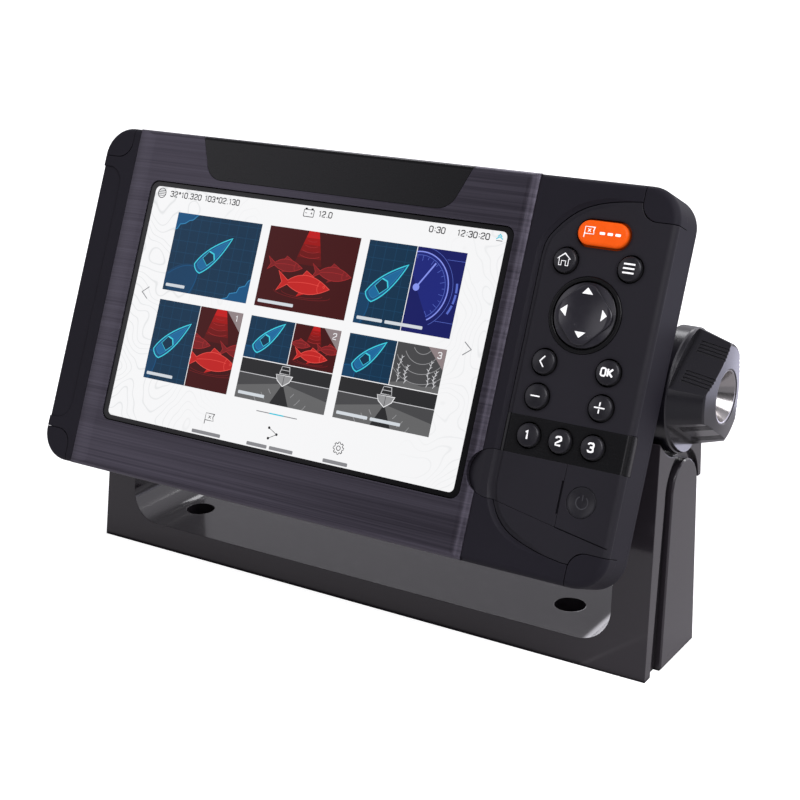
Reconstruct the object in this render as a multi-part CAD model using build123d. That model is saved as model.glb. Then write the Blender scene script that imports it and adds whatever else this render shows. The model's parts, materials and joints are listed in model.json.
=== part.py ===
from build123d import *
import os
from math import atan, cos, degrees, radians, sin, sqrt, tan

# Chartplotter display on a trunnion bracket.
# World frame: +X to the viewer's right, +Y to the rear, +Z up, millimetres.
# The origin is the centre of the bracket's resting face.
# Display pieces are drawn in the housing frame: x right, y to the rear, z up,
# y = 0 on the fascia's front, x = z = 0 on the housing's centre. Then they are tilted about the pivot.

# ---- driving dimensions ----
HOUSING_W = 243.0
HOUSING_H = 133.0
HOUSING_R = 11.5
MARGIN_Y = 1.2  # how far the side margins lie behind the raised fascia
BEZEL_END_Y = 16.3
FLANGE_END_Y = 18.5
REAR_END_Y = 58.0
EDGE_R = 2.3
WALL = 2.6
FRONT_WALL_Y = 5.0
REAR_HALF_W = 100.0
REAR_HALF_H = 57.5

SCREEN_X = -14.3
ACTIVE_W = 153.6
ACTIVE_H = 90.0
LENS_W = 158.5
LENS_H = 93.8

FASCIA_LEFT = -105.0
FASCIA_RIGHT = 69.7
BEVEL_LEFT = 8.7
BEVEL_RIGHT = 4.0
FASCIA_BACK_Y = 2.6

INSERT_TOP_HALF = 59.0
INSERT_BOTTOM_HALF = 52.4
INSERT_BOTTOM_Z = 50.0
INSERT_R = 8.0
INSERT_T = 0.9

CAP_W = 13.2
CAP_H = 11.8
CAP_DEPTH_Y = 9.0
CAP_T = 1.2

KEYPAD_X = 96.9
COLUMN = 11.6
KEY_R = 4.15
NUMBER_KEY_R = 4.0
KEY_GAP = 0.55
KEY_FRONT_Y = -0.55  # crown of the domed keys
KEY_BACK_Y = 4.2
KEY_CROWN_R = 15.0
KEY_FLANGE = 0.9
KEY_FLANGE_Y = 3.5
STEM_R = 2.0
STEM_END_Y = 7.7
PILL_W = 18.0
PILL_H = 8.2
PILL_GAP = 0.75
PILL_Z = 48.5
HOME_Z = 38.3
DPAD_X = 96.1
DPAD_Z = 21.3
BACK_Z = 4.0
MINUS_Z = -7.7
NUMBER_Z = -20.8
POWER_Z = -38.8
POWER_R = 5.1
DPAD_RING_R = 13.0
DPAD_WELL_R = 11.4
DPAD_R = 10.9
LENS_FRONT_Y = 0.4
LENS_BACK_Y = 2.2
SCREW_R = 1.3
PIN_R = 0.75
DPAD_CONTACT = 7.0  # from the rocker's centre to each of its four switches
BAND_TOP = -14.5
BAND_BOTTOM = -27.5
DOOR_HINGE_X = 101.0
DOOR_TAB_X = 74.2
DOOR_LOW_Z = -43.9
PANEL_BACK_Y = 3.4

# edge of the keypad panel as (x, z): a curve at the top, a straight side and a curve at the bottom
KEYPAD_TOP = ((107.7, 60.5), (97.0, 59.3), (85.0, 54.6), (78.2, 47.5), (75.7, 37.0))
KEYPAD_BOTTOM = ((75.7, -36.0), (77.6, -45.5), (84.0, -53.0), (94.0, -57.0), (105.7, -59.2))
VALLEY_R = 2.7  # round-bottomed valley along that edge
VALLEY_DEPTH = 0.75

PIVOT_Y = 41.0  # pivot in the housing frame
PIVOT_Z = 5.9
TILT = 23.2  # the display leans back by this angle at rest

BRACKET_W = 246.2
BRACKET_DEPTH = 47.0
BASE_T = 10.0
LEG_T = 14.2
LEG_DRAFT = 2.0
FRONT_LEAN = 6.6
INNER_R = 12.0
PIVOT_H = 98.7
PIVOT_BACK = 4.8
HEAD_R = 18.0
POCKET_R = 23.5
POCKET_X = 115.0
PAD_X = 105.2
MOUNT_SPACING = 173.3
MOUNT_SHIFT = -4.1
MOUNT_HOLE_R = 3.2
MOUNT_RECESS_R = 5.9
MOUNT_RECESS = 7.0

STUD_R = 4.0
STUD_CLEARANCE = 0.06
KNOB_FLANGE_R = 21.8
KNOB_FLANGE_X = 122.4
KNOB_RIM_X = 134.2
KNOB_CREST_X = 135.2
KNOB_TIP_R = 17.8
KNOB_FLAT_BASE = 15.7
KNOB_FLAT_TIP = 12.5
KNOB_CUP_R = 9.2
WASHER_T = 0.8

BOARD_Y = 9.0  # front face of the keypad board
MAIN_BOARD_Y = 14.0
MAIN_BOARD_BACK_Y = 15.6
GAP = 0.15
DOOR_GAP = 0.14
CAP_GAP = 0.24
GROOVE = 0.12

os.makedirs("parts", exist_ok=True)


# ---- helpers ----
def block(x0, x1, y0, y1, z0, z1):
    """Box between two corners."""
    centre = Pos((x0 + x1) / 2, (y0 + y1) / 2, (z0 + z1) / 2)
    return centre * Box(x1 - x0, y1 - y0, z1 - z0)


def prism(sketch, y0, y1):
    """Front-view sketch (x right, z up) pushed back from y0 to y1."""
    plane = Plane(origin=(0, y1, 0), x_dir=(1, 0, 0), z_dir=(0, -1, 0))
    return extrude(plane * sketch, amount=y1 - y0)


def side_prism(sketch, x0, x1):
    """Side-view sketch (first axis y, second axis z) pushed from x0 to x1."""
    plane = Plane(origin=(x0, 0, 0), x_dir=(0, 1, 0), z_dir=(1, 0, 0))
    return extrude(plane * sketch, amount=x1 - x0)


def rod(radius, y0, y1, x=0.0, z=0.0):
    """Round bar along Y."""
    return Pos(x, (y0 + y1) / 2, z) * Rot(90, 0, 0) * Cylinder(radius, y1 - y0)


def axle(radius, x0, x1, y=0.0, z=0.0):
    """Round bar along X."""
    return Pos((x0 + x1) / 2, y, z) * Rot(0, 90, 0) * Cylinder(radius, x1 - x0)


def rounded(w, h, r, x=0.0, z=0.0):
    """Rounded rectangle in the front view."""
    return Pos(x, z) * RectangleRounded(w, h, r)


def turned(profile):
    """Solid of revolution about X from (x, radius) points."""
    return revolve(make_face(Polyline(*profile, close=True)), axis=Axis.X)


def both_sides(shape):
    """A piece and its mirror image across the middle plane."""
    return shape + mirror(shape, about=Plane.YZ)


def group(solids):
    """Identical pieces kept as separate solids in one node."""
    return Part() + solids


def tilted(shape):
    """Move a housing-frame piece to its rest place on the bracket."""
    lean = Pos(0, PIVOT_BACK, PIVOT_H) * Rot(-TILT, 0, 0) * Pos(0, -PIVOT_Y, -PIVOT_Z)
    return lean * shape


def at_pivot(shape):
    """Move a piece drawn about the X axis onto the pivot axis."""
    return Pos(0, PIVOT_BACK, PIVOT_H) * shape


# ---- bracket ----
def trunnion_bracket():
    half = BRACKET_W / 2
    top = PIVOT_H + HEAD_R
    lean_in = top * tan(radians(LEG_DRAFT))
    outer = Polygon((-half, 0), (half, 0), (half - lean_in, top), (lean_in - half, top), align=None)
    floor = half - LEG_T - BASE_T * tan(radians(LEG_DRAFT))
    mouth = half - LEG_T - lean_in
    inner = Polygon((-floor, BASE_T), (floor, BASE_T), (mouth, top), (-mouth, top), align=None)
    inner = fillet(inner.vertices().group_by(Axis.Y)[0], INNER_R)
    body = prism(outer - inner, -BRACKET_DEPTH / 2, BRACKET_DEPTH / 2)
    front = -BRACKET_DEPTH / 2
    top_front = front + PIVOT_H * tan(radians(FRONT_LEAN))
    side = Polygon(
        (front, 0), (-front, 0), (PIVOT_BACK + HEAD_R, PIVOT_H), (top_front, PIVOT_H), align=None
    )
    side += Pos(PIVOT_BACK, PIVOT_H) * Circle(HEAD_R)
    body &= side_prism(side, -half, half)
    for sign in (-1, 1):
        inner_end, outer_end = sorted((sign * POCKET_X, sign * half))
        body -= axle(POCKET_R, inner_end, outer_end, PIVOT_BACK, PIVOT_H)
        inner_end, outer_end = sorted((sign * (PAD_X - LEG_T), sign * PAD_X))
        body -= axle(HEAD_R + 0.5, inner_end, outer_end, PIVOT_BACK, PIVOT_H)
    body -= axle(STUD_R + STUD_CLEARANCE, -half, half, PIVOT_BACK, PIVOT_H)
    body = leg_panels(body, front)
    body -= underside_cores()
    for x in mount_places():
        body -= Pos(x, 0, BASE_T / 2) * Cylinder(MOUNT_HOLE_R, BASE_T)
        body -= Pos(x, 0, BASE_T - MOUNT_RECESS / 2) * Cylinder(MOUNT_RECESS_R, MOUNT_RECESS)
    return body


def mount_places():
    return (MOUNT_SHIFT - MOUNT_SPACING / 2, MOUNT_SHIFT + MOUNT_SPACING / 2)


def leg_panels(body, front):
    """A sunk arch in each outer leg face, with a raised arched panel standing in it."""
    sunk = 1.6
    proud = 1.2
    arch_z = 62.0
    lean = tan(radians(FRONT_LEAN))
    panel_front = front + 11.0
    panel_rear = 17.0
    channel_front = front + 4.6
    panel_r = (panel_rear - panel_front - arch_z * lean) / 2
    channel_r = panel_r + 3.6
    face = Plane(
        origin=(BRACKET_W / 2, 0, 0),
        x_dir=(0, 1, 0),
        z_dir=(cos(radians(LEG_DRAFT)), 0, sin(radians(LEG_DRAFT))),
    )
    centre = panel_rear - panel_r
    panel = Polygon(
        (panel_front, 0), (panel_rear, 0), (panel_rear, arch_z), (centre - panel_r, arch_z), align=None
    )
    panel += Pos(centre, arch_z) * Circle(panel_r)
    channel = Polygon(
        (channel_front, 0), (-front, 0), (-front, arch_z), (centre - channel_r, arch_z), align=None
    )
    channel += Pos(centre, arch_z) * Circle(channel_r)
    cutter = extrude(face * channel, amount=-sunk) + extrude(face * channel, amount=sunk)
    raised = extrude(face * panel, amount=proud) + extrude(face * panel, amount=-sunk)
    raised = chamfer(raised.faces().sort_by(Axis.X)[-1].edges(), 0.5)
    raised &= block(0, BRACKET_W, front, -front, 0, PIVOT_H)
    for shape, other in ((cutter, raised), (mirror(cutter, about=Plane.YZ), mirror(raised, about=Plane.YZ))):
        body -= shape
        body += other
    return body


def underside_cores():
    """Cored pockets under the base, with ribs and solid pads left at the screw holes."""
    depth = 6.5
    rib = 3.0
    end = BRACKET_W / 2 - LEG_T - 4.0
    bays = 8
    pitch = 2 * end / bays
    cores = []
    for bay in range(bays):
        x0 = -end + bay * pitch + rib / 2
        x1 = x0 + pitch - rib
        cores.append(block(x0, x1, -BRACKET_DEPTH / 2 + 4.5, BRACKET_DEPTH / 2 - 4.0, 0, depth))
    pockets = Part() + cores
    for x in mount_places():
        pockets -= Pos(x, 0, depth / 2) * Cylinder(MOUNT_RECESS_R + 2.5, depth)
    return pockets


def bracket_friction_rings():
    ring = axle(16.0, PAD_X - 1.3, PAD_X) - axle(6.0, PAD_X - 1.3, PAD_X)
    return at_pivot(both_sides(ring))


# ---- clamp knobs, drawn on the right-hand side about the X axis ----
def thrust_washer():
    outer = axle(20.5, POCKET_X, POCKET_X + WASHER_T)
    return outer - axle(STUD_R + STUD_CLEARANCE, POCKET_X, POCKET_X + WASHER_T)


def knob_grip():
    base = POCKET_X + WASHER_T
    floor = KNOB_CREST_X - 8.0
    profile = [
        (base, STUD_R),
        (base, KNOB_FLANGE_R - 0.6),
        (base + 0.6, KNOB_FLANGE_R),
        (KNOB_FLANGE_X - 0.4, KNOB_FLANGE_R),
        (KNOB_FLANGE_X, KNOB_FLANGE_R - 0.4),
        (KNOB_RIM_X - 0.5, KNOB_TIP_R + 0.2),
        (KNOB_RIM_X, KNOB_TIP_R - 0.6),
        (KNOB_CREST_X, KNOB_CUP_R + 0.4),
        (KNOB_CREST_X - 0.3, KNOB_CUP_R),
        (floor, 6.4),
        (floor - 2.0, 6.4),
        (floor - 2.0, STUD_R),
    ]
    grip = turned(profile)
    length = KNOB_CREST_X - KNOB_FLANGE_X
    draft = degrees(atan((KNOB_FLAT_BASE - KNOB_FLAT_TIP) / length))
    for turn in (0, 120, 240):
        flat = Pos(KNOB_FLANGE_X, KNOB_FLAT_BASE, 0) * Rot(0, 0, -draft)
        cut = flat * block(0, 30, 0, 30, -30, 30)
        for side in (-1, 1):
            for number in range(4):
                z = side * (9.4 - 1.55 * number)
                cut += flat * Pos(0, 0, z) * Rot(0, 90, 0) * Pos(0, 0, 9.0) * Cylinder(0.42, 13.0)
        grip -= Rot(turn, 0, 0) * cut
    return grip


def knob_insert():
    """Metal funnel pressed into the knob, gripping the clamp stud."""
    floor = KNOB_CREST_X - 8.0
    profile = [
        (floor - 2.0, STUD_R),
        (floor - 2.0, 6.4),
        (floor, 6.4),
        (KNOB_CREST_X - 0.3, KNOB_CUP_R),
        (KNOB_CREST_X - 0.4, KNOB_CUP_R - 0.5),
        (floor + 0.8, 5.4),
        (floor + 0.8, STUD_R),
    ]
    return turned(profile)


def clamp_stud():
    tip = KNOB_CREST_X - 4.5
    stud = axle(STUD_R, 90.0, tip)
    stud = chamfer(stud.edges().sort_by(Axis.X)[-1], 0.6)
    hexagon = extrude(Plane.YZ.offset(tip - 2.5) * RegularPolygon(2.3, 6), amount=5)
    return stud - hexagon


# ---- display shells ----
def bezel_form(shrink=0.0, front=MARGIN_Y, edge=EDGE_R, end=BEZEL_END_Y):
    outline = rounded(HOUSING_W - 2 * shrink, HOUSING_H - 2 * shrink, HOUSING_R - shrink)
    form = prism(outline, front, end)
    return fillet(form.edges().group_by(Axis.Y)[0], edge)


def roll_off(edge_x, flat_x):
    """Arc that falls from the flat front at flat_x to the margin at edge_x."""
    width = abs(flat_x - edge_x)
    radius = (width**2 + MARGIN_Y**2) / (2 * MARGIN_Y)
    middle = ((edge_x + flat_x) / 2, radius - sqrt(radius**2 - (width / 2) ** 2))
    return ThreePointArc((edge_x, MARGIN_Y), middle, (flat_x, 0))


def fascia_form():
    """Raised plate that rolls off gently on the left and steeply on the right."""
    flat_left = FASCIA_LEFT + BEVEL_LEFT
    flat_right = FASCIA_RIGHT - BEVEL_RIGHT
    section = roll_off(FASCIA_LEFT, flat_left) + Line((flat_left, 0), (flat_right, 0))
    section += roll_off(FASCIA_RIGHT, flat_right)
    section += Polyline(
        (FASCIA_RIGHT, MARGIN_Y), (FASCIA_RIGHT, FASCIA_BACK_Y),
        (FASCIA_LEFT, FASCIA_BACK_Y), (FASCIA_LEFT, MARGIN_Y),
    )
    half = HOUSING_H / 2
    plate = extrude(Plane.XY.offset(-half) * make_face(section), amount=2 * half)
    cover = block(-HOUSING_W, HOUSING_W, 0, BEZEL_END_Y, -half, half)
    rims = cover.edges().filter_by(Axis.X).group_by(Axis.Y)[0]
    return plate & fillet(rims, EDGE_R)


def insert_sketch(shrink=0.0):
    half = HOUSING_H / 2
    top = INSERT_TOP_HALF - shrink
    bottom = INSERT_BOTTOM_HALF - shrink
    low = INSERT_BOTTOM_Z + shrink
    outline = Polygon((-top, half), (-bottom, low), (bottom, low), (top, half), align=None)
    outline = fillet(outline.vertices().group_by(Axis.Y)[0], INSERT_R - shrink)
    return Pos(SCREEN_X, 0) * outline


def cap_sketch(grow=0.0):
    """Front outlines of the four corner caps."""
    corners = Sketch()
    width = CAP_W + grow
    height = CAP_H + grow
    for sx in (-1, 1):
        for sz in (-1, 1):
            patch = RectangleRounded(2 * width, 2 * height, 6.0)
            corners += Pos(sx * HOUSING_W / 2, sz * HOUSING_H / 2) * patch
    return corners


def keypad_sketch(inset=0.0):
    """Outline of the keypad panel, open to the right-hand edge; an inset draws the panel's edge inward."""
    right = HOUSING_W / 2 + 2.0
    squeeze = 1.0 - inset / KEYPAD_TOP[0][1]
    upper = [(x + inset, z * squeeze) for x, z in KEYPAD_TOP]
    lower = [(x + inset, z * squeeze) for x, z in KEYPAD_BOTTOM]
    outline = Spline(*upper, tangents=[(-1, -0.06), (0, -1)])
    outline += Line(upper[-1], lower[0])
    outline += Spline(*lower, tangents=[(0, -1), (1, -0.14)])
    outline += Polyline(lower[-1], (right, lower[-1][1]), (right, upper[0][1]), upper[0])
    return make_face(outline)


def keypad_valley():
    """Cutter for the round-bottomed valley along the keypad's edge, fading out at both ends."""
    deep = MARGIN_Y + VALLEY_DEPTH - VALLEY_R
    clear = MARGIN_Y - VALLEY_R - 0.05
    lift = (clear, (deep + clear) / 2, deep, deep, deep)
    top = [(x, y, z) for (x, z), y in zip(KEYPAD_TOP, lift)]
    bottom = [(x, y, z) for (x, z), y in zip(KEYPAD_BOTTOM, reversed(lift))]
    path = Spline(*top, tangents=[(-1, 0, -0.06), (0, 0, -1)])
    path += Line(top[-1], bottom[0])
    path += Spline(*bottom, tangents=[(0, 0, -1), (1, 0, -0.14)])
    section = Plane(origin=path @ 0, z_dir=path % 0) * Circle(VALLEY_R)
    return sweep(section, path=path)


def door_sketch(shrink=0.0):
    """Card door with a half-round pull tab at its left end."""
    top = BAND_BOTTOM - shrink
    low = DOOR_LOW_Z + shrink
    hinge = DOOR_HINGE_X - shrink
    outline = Polygon(
        (hinge, top), (DOOR_TAB_X, top), (DOOR_TAB_X, low), (DOOR_TAB_X + 3.8, low - 0.2),
        (hinge, low - 4.4), align=None
    )
    tab_r = (top - low) / 2
    return outline + Pos(DOOR_TAB_X, top - tab_r) * Circle(tab_r)


def key_spots():
    """Name and centre of each round key."""
    left = KEYPAD_X - COLUMN
    right = KEYPAD_X + COLUMN
    return {
        "key_home": (left, HOME_Z),
        "key_menu": (right, HOME_Z),
        "key_back": (left, BACK_Z),
        "key_ok": (right, BACK_Z),
        "key_minus": (left, MINUS_Z),
        "key_plus": (right, MINUS_Z),
        "key_one": (left, NUMBER_Z),
        "key_two": (KEYPAD_X, NUMBER_Z),
        "key_three": (right, NUMBER_Z),
    }


def power_spot():
    return (KEYPAD_X + COLUMN, POWER_Z)


def key_radius(name):
    return NUMBER_KEY_R if name in ("key_one", "key_two", "key_three") else KEY_R


def pill_sketch():
    return rounded(PILL_W, PILL_H, PILL_H / 2 - 0.01, KEYPAD_X, PILL_Z)


def key_openings(y0, y1):
    """Cutters for every key, the rocker's ring and the power key."""
    pill = offset(pill_sketch(), amount=PILL_GAP)
    cut = prism(pill, y0, y1)
    for name, (x, z) in key_spots().items():
        cut += rod(key_radius(name) + KEY_GAP, y0, y1, x, z)
    cut += rod(DPAD_RING_R, y0, y1, DPAD_X, DPAD_Z)
    cut += rod(POWER_R + GAP, y0, y1, *power_spot())
    return cut


def mirrored_spots(x, z):
    """A point and its three mirror images about the housing's centre."""
    return [(sx * x, sz * z) for sx in (-1, 1) for sz in (-1, 1)]


def housing_screw_spots():
    return mirrored_spots(113.0, 57.0) + mirrored_spots(40.0, 62.0)


def margin_inset():
    """Shallow step in the left margin, carried round the outer edge."""
    step = 0.3
    inner = Pos(-HOUSING_W / 2, 0) * RectangleRounded(22.4, 101.0, 7.0)
    return prism(inner, 0, 7.0) - bezel_form(step, MARGIN_Y + step, EDGE_R)


def band_wrap(gap=0.0):
    """End of the key band on the right side wall, its upper back corner rounded."""
    front = 1.6 - gap
    back = 5.2 + gap
    top = BAND_TOP + gap
    low = BAND_BOTTOM - gap
    corner_r = 1.6
    outline = Pos(back - corner_r, top - corner_r) * Circle(corner_r)
    outline += Polygon(
        (front, low), (back, low), (back, top - corner_r), (back - corner_r, top), (front, top), align=None
    )
    return side_prism(outline, HOUSING_W / 2 - 1.0 - gap, HOUSING_W / 2 + 1.0)


def front_bezel():
    shell = bezel_form() - margin_inset() - band_wrap(GAP)
    cavity = rounded(HOUSING_W - 2 * WALL, HOUSING_H - 2 * WALL, HOUSING_R - WALL)
    shell -= prism(cavity, FRONT_WALL_Y, BEZEL_END_Y)
    boss_r = 3.6
    for x, z in housing_screw_spots():
        shell += rod(boss_r, FRONT_WALL_Y - 0.5, BEZEL_END_Y, x, z) & bezel_form()
        shell -= rod(SCREW_R, FRONT_WALL_Y + 2.0, BEZEL_END_Y, x, z)
    for x in (76.4, 117.2):
        for z in (-25.0, 30.0):
            shell += rod(1.2, FRONT_WALL_Y - 0.5, BOARD_Y, x, z)
    half = HOUSING_H / 2
    shell -= block(FASCIA_LEFT - GAP, FASCIA_RIGHT + GAP, 0, FASCIA_BACK_Y, -half, half)
    shell -= prism(rounded(ACTIVE_W + 1.4, ACTIVE_H + 1.4, 3.0, SCREEN_X), 0, FRONT_WALL_Y)
    under_caps = bezel_form(CAP_T + GAP, MARGIN_Y + CAP_T + GAP, 1.0)
    shell -= prism(cap_sketch(CAP_GAP), 0, CAP_DEPTH_Y) - under_caps
    shell -= keypad_valley()
    shell -= prism(keypad_sketch(-GROOVE), 0, PANEL_BACK_Y)
    shell -= prism(door_sketch(-GAP), 0, PANEL_BACK_Y)
    well = rounded(38.5, 104.0, 6.0, KEYPAD_X - 0.1, 3.0) - Pos(84.0, -41.0) * Rectangle(20.0, 30.0)
    shell -= prism(well, PANEL_BACK_Y, FRONT_WALL_Y)
    return shell - card_mouth(0, FRONT_WALL_Y)


def card_mouth(y0, y1):
    """Opening behind the door, through which the memory card goes in."""
    return block(79.0, 96.0, y0, y1, -39.0, -35.5)


def brushed_fascia():
    plate = fascia_form()
    plate -= prism(rounded(LENS_W + 2 * GAP, LENS_H + 2 * GAP, 3.6, SCREEN_X), 0, FASCIA_BACK_Y)
    plate -= prism(insert_sketch(-GAP), 0, INSERT_T + GAP)
    plate -= prism(door_sketch(-GAP), 0, FASCIA_BACK_Y)
    return plate


def top_insert():
    blank = prism(insert_sketch(), 0, INSERT_T)
    return blank & fascia_form()


def corner_caps():
    caps = bezel_form() & prism(cap_sketch(), 0, CAP_DEPTH_Y)
    return caps - bezel_form(CAP_T, MARGIN_Y + CAP_T, 1.1)


def screen_lens():
    lens = prism(rounded(LENS_W, LENS_H, 3.5, SCREEN_X), LENS_FRONT_Y, LENS_BACK_Y)
    return chamfer(lens.edges().group_by(Axis.Y)[0], 0.2)


def lens_gasket():
    outer = rounded(LENS_W - 0.4, LENS_H - 0.4, 3.3, SCREEN_X)
    inner = rounded(ACTIVE_W + 1.6, ACTIVE_H + 1.6, 3.0, SCREEN_X)
    return prism(outer - inner, LENS_BACK_Y, FASCIA_BACK_Y)


def keypad_fascia():
    panel = bezel_form() & prism(keypad_sketch(GROOVE), MARGIN_Y, PANEL_BACK_Y)
    panel -= prism(cap_sketch(CAP_GAP), 0, CAP_DEPTH_Y)
    panel -= key_openings(0, PANEL_BACK_Y)
    panel -= band_block()
    panel -= band_wrap(GAP)
    panel -= prism(door_sketch(-DOOR_GAP), 0, 2.5)
    panel -= card_mouth(0, PANEL_BACK_Y)
    panel -= keypad_valley()
    seam = Polyline((DOOR_HINGE_X, DOOR_LOW_Z - 4.5), (HOUSING_W / 2 + 1.0, DOOR_LOW_Z - 8.1))
    panel -= prism(trace(seam, 0.35), 0, MARGIN_Y + 0.4)
    return panel


def band_block():
    """Space of the gloss strip behind the number keys."""
    return block(70.0, HOUSING_W, 0, 2.4, BAND_BOTTOM, BAND_TOP)


def key_band():
    strip = bezel_form() & prism(keypad_sketch(GROOVE), MARGIN_Y, 2.4)
    strip &= band_block()
    strip += bezel_form() & band_wrap()
    return strip - key_openings(0, 2.4) - keypad_valley()


def dpad_ring():
    outer_r = DPAD_RING_R - GAP
    ring = rod(outer_r, 0.9, PANEL_BACK_Y, DPAD_X, DPAD_Z)
    ring -= rod(DPAD_WELL_R, 0.9, PANEL_BACK_Y, DPAD_X, DPAD_Z)
    return fillet(ring.edges().group_by(Axis.Y)[0], 0.35)


def rear_housing():
    flange = bezel_form(0.0, BEZEL_END_Y, 0.2, FLANGE_END_Y)
    tub = prism(rounded(2 * REAR_HALF_W, 2 * REAR_HALF_H, 9.0), BEZEL_END_Y, REAR_END_Y)
    tub = fillet(tub.edges().group_by(Axis.Y)[-1], 7.0)
    shell = flange + tub
    for side in (-1, 1):
        ends = sorted((side * 90.0, side * (PAD_X - 1.3)))
        shell += axle(16.0, *ends, PIVOT_Y, PIVOT_Z)
    fins = 13
    fin = block(-1.2, 1.2, REAR_END_Y - 3.0, REAR_END_Y + 3.0, 2.0, 46.0)
    fin = fillet(fin.edges().filter_by(Axis.X).group_by(Axis.Y)[-1], 2.5)
    for number in range(fins):
        shell += Pos(12.0 * (number - fins // 2), 0, 0) * fin
    hollow = rounded(2 * (REAR_HALF_W - WALL), 2 * (REAR_HALF_H - WALL), 6.4)
    shell -= prism(hollow, BEZEL_END_Y, REAR_END_Y - WALL)
    for side in (-1, 1):
        ends = sorted((side * 86.0, side * (PAD_X - 1.3)))
        shell += axle(9.0, *ends, PIVOT_Y, PIVOT_Z)
        shell -= axle(6.5, *ends, PIVOT_Y, PIVOT_Z)
    for x, z, radius in socket_spots():
        shell -= rod(radius, REAR_END_Y - WALL, REAR_END_Y, x, z)
    shell -= rod(3.0, REAR_END_Y - WALL, REAR_END_Y, 52.0, -30.0)
    for x, z in housing_screw_spots():
        shell -= rod(1.7, BEZEL_END_Y, FLANGE_END_Y, x, z)
        shell -= rod(3.1, FLANGE_END_Y - 1.2, FLANGE_END_Y, x, z)
    return shell - prism(seal_ring(0.75), BEZEL_END_Y, BEZEL_END_Y + 0.9)


def seal_ring(half_width):
    """Ring that follows the middle of the bezel's wall."""
    centre_line = rounded(HOUSING_W - WALL, HOUSING_H - WALL, HOUSING_R - WALL / 2)
    return offset(centre_line, amount=half_width) - offset(centre_line, amount=-half_width)


def socket_spots():
    """Centre and clearance radius of the two rear sockets."""
    return ((-34.0, -30.0, 8.0), (10.0, -30.0, 10.0))


def housing_seal():
    return prism(seal_ring(0.65), BEZEL_END_Y, BEZEL_END_Y + 0.85)


def housing_screws():
    screws = []
    for x, z in housing_screw_spots():
        screw = rod(SCREW_R, 9.0, FLANGE_END_Y - 1.1, x, z)
        screw += rod(2.9, FLANGE_END_Y - 1.2, FLANGE_END_Y - 0.1, x, z)
        socket_cut = rod(1.0, FLANGE_END_Y - 0.8, FLANGE_END_Y, x, z)
        screws.append(screw - socket_cut)
    return group(screws)


def pivot_inserts():
    """Threaded metal bushes that take the clamp studs."""
    start = 87.0
    end = PAD_X - 1.5
    bush = axle(6.5, start, end, PIVOT_Y, PIVOT_Z)
    return both_sides(bush - axle(STUD_R + STUD_CLEARANCE, start, end, PIVOT_Y, PIVOT_Z))


# ---- rear fittings ----
def socket(x, z, radius, length):
    shell = rod(radius, REAR_END_Y - WALL, REAR_END_Y + length, x, z)
    shell += rod(radius + 2.2, REAR_END_Y - WALL - 2.0, REAR_END_Y - WALL, x, z)
    shell -= rod(radius - 1.8, REAR_END_Y, REAR_END_Y + length, x, z)
    key_low = z + radius - 2.4
    return shell + block(x - 1.0, x + 1.0, REAR_END_Y, REAR_END_Y + length - 1.0, key_low, key_low + 1.2)


def power_socket():
    x, z, radius = socket_spots()[0]
    body = socket(x, z, radius, 8.0)
    return body - pin_bores(x, z, 3, 3.0)


def transducer_socket():
    x, z, radius = socket_spots()[1]
    body = socket(x, z, radius, 8.0)
    return body - pin_bores(x, z, 8, 4.6)


def pin_places(x, z, count, ring):
    angles = [radians(360 / count * i + 30) for i in range(count)]
    return [(x + ring * cos(a), z + ring * sin(a)) for a in angles]


def pin_bores(x, z, count, ring):
    start = REAR_END_Y - WALL - 2.0
    return Part() + [rod(PIN_R, start, REAR_END_Y, px, pz) for px, pz in pin_places(x, z, count, ring)]


def socket_pins():
    pins = []
    for (x, z, _), count, ring in zip(socket_spots(), (3, 8), (3.0, 4.6)):
        for px, pz in pin_places(x, z, count, ring):
            pins.append(rod(PIN_R, REAR_END_Y - WALL - 4.0, REAR_END_Y + 5.0, px, pz))
    return group(pins)


def socket_seals():
    seals = []
    for x, z, radius in socket_spots():
        y0 = REAR_END_Y
        seals.append(rod(radius + 2.0, y0, y0 + 1.2, x, z) - rod(radius, y0, y0 + 1.2, x, z))
    return group(seals)


def breather_vent():
    cap = rod(3.0, REAR_END_Y - WALL, REAR_END_Y + 1.0, 52.0, -30.0)
    cap += rod(4.5, REAR_END_Y, REAR_END_Y + 1.5, 52.0, -30.0)
    return cap - rod(1.0, REAR_END_Y + 0.3, REAR_END_Y + 1.5, 52.0, -30.0)


# ---- inside the display ----
def lcd_panel():
    return block(SCREEN_X - 82.0, SCREEN_X + 82.0, 5.0, 7.6, -50.0, 50.0)


def lcd_backlight_frame():
    tray = block(SCREEN_X - 83.0, SCREEN_X + 83.0, 5.0, 10.0, -51.0, 51.0)
    tray -= block(SCREEN_X - 82.0, SCREEN_X + 82.0, 5.0, 9.0, -50.0, 50.0)
    for x, z in board_spots():
        tray += rod(3.0, 10.0, MAIN_BOARD_Y, x, z)
        tray -= rod(1.1, 10.5, MAIN_BOARD_Y, x, z)
    return tray


def board_spots():
    return [(SCREEN_X + sx * 62.0, sz * 42.0) for sx in (-1, 1) for sz in (-1, 1)]


def main_board():
    board = block(-84.0, 56.0, MAIN_BOARD_Y, MAIN_BOARD_BACK_Y, -47.0, 47.0)
    for x, z in board_spots():
        board -= rod(1.5, MAIN_BOARD_Y, MAIN_BOARD_BACK_Y, x, z)
    return board


def board_screws():
    screws = []
    for x, z in board_spots():
        shank = rod(1.1, 10.5, MAIN_BOARD_BACK_Y, x, z)
        screws.append(shank + rod(2.6, MAIN_BOARD_BACK_Y, MAIN_BOARD_BACK_Y + 1.6, x, z))
    return group(screws)


def heat_spreader():
    plate = block(-56.0, 14.0, 17.0, 19.0, -20.0, 34.0)
    return plate + block(-41.0, -1.0, MAIN_BOARD_BACK_Y, 17.0, -8.0, 22.0)


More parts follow.
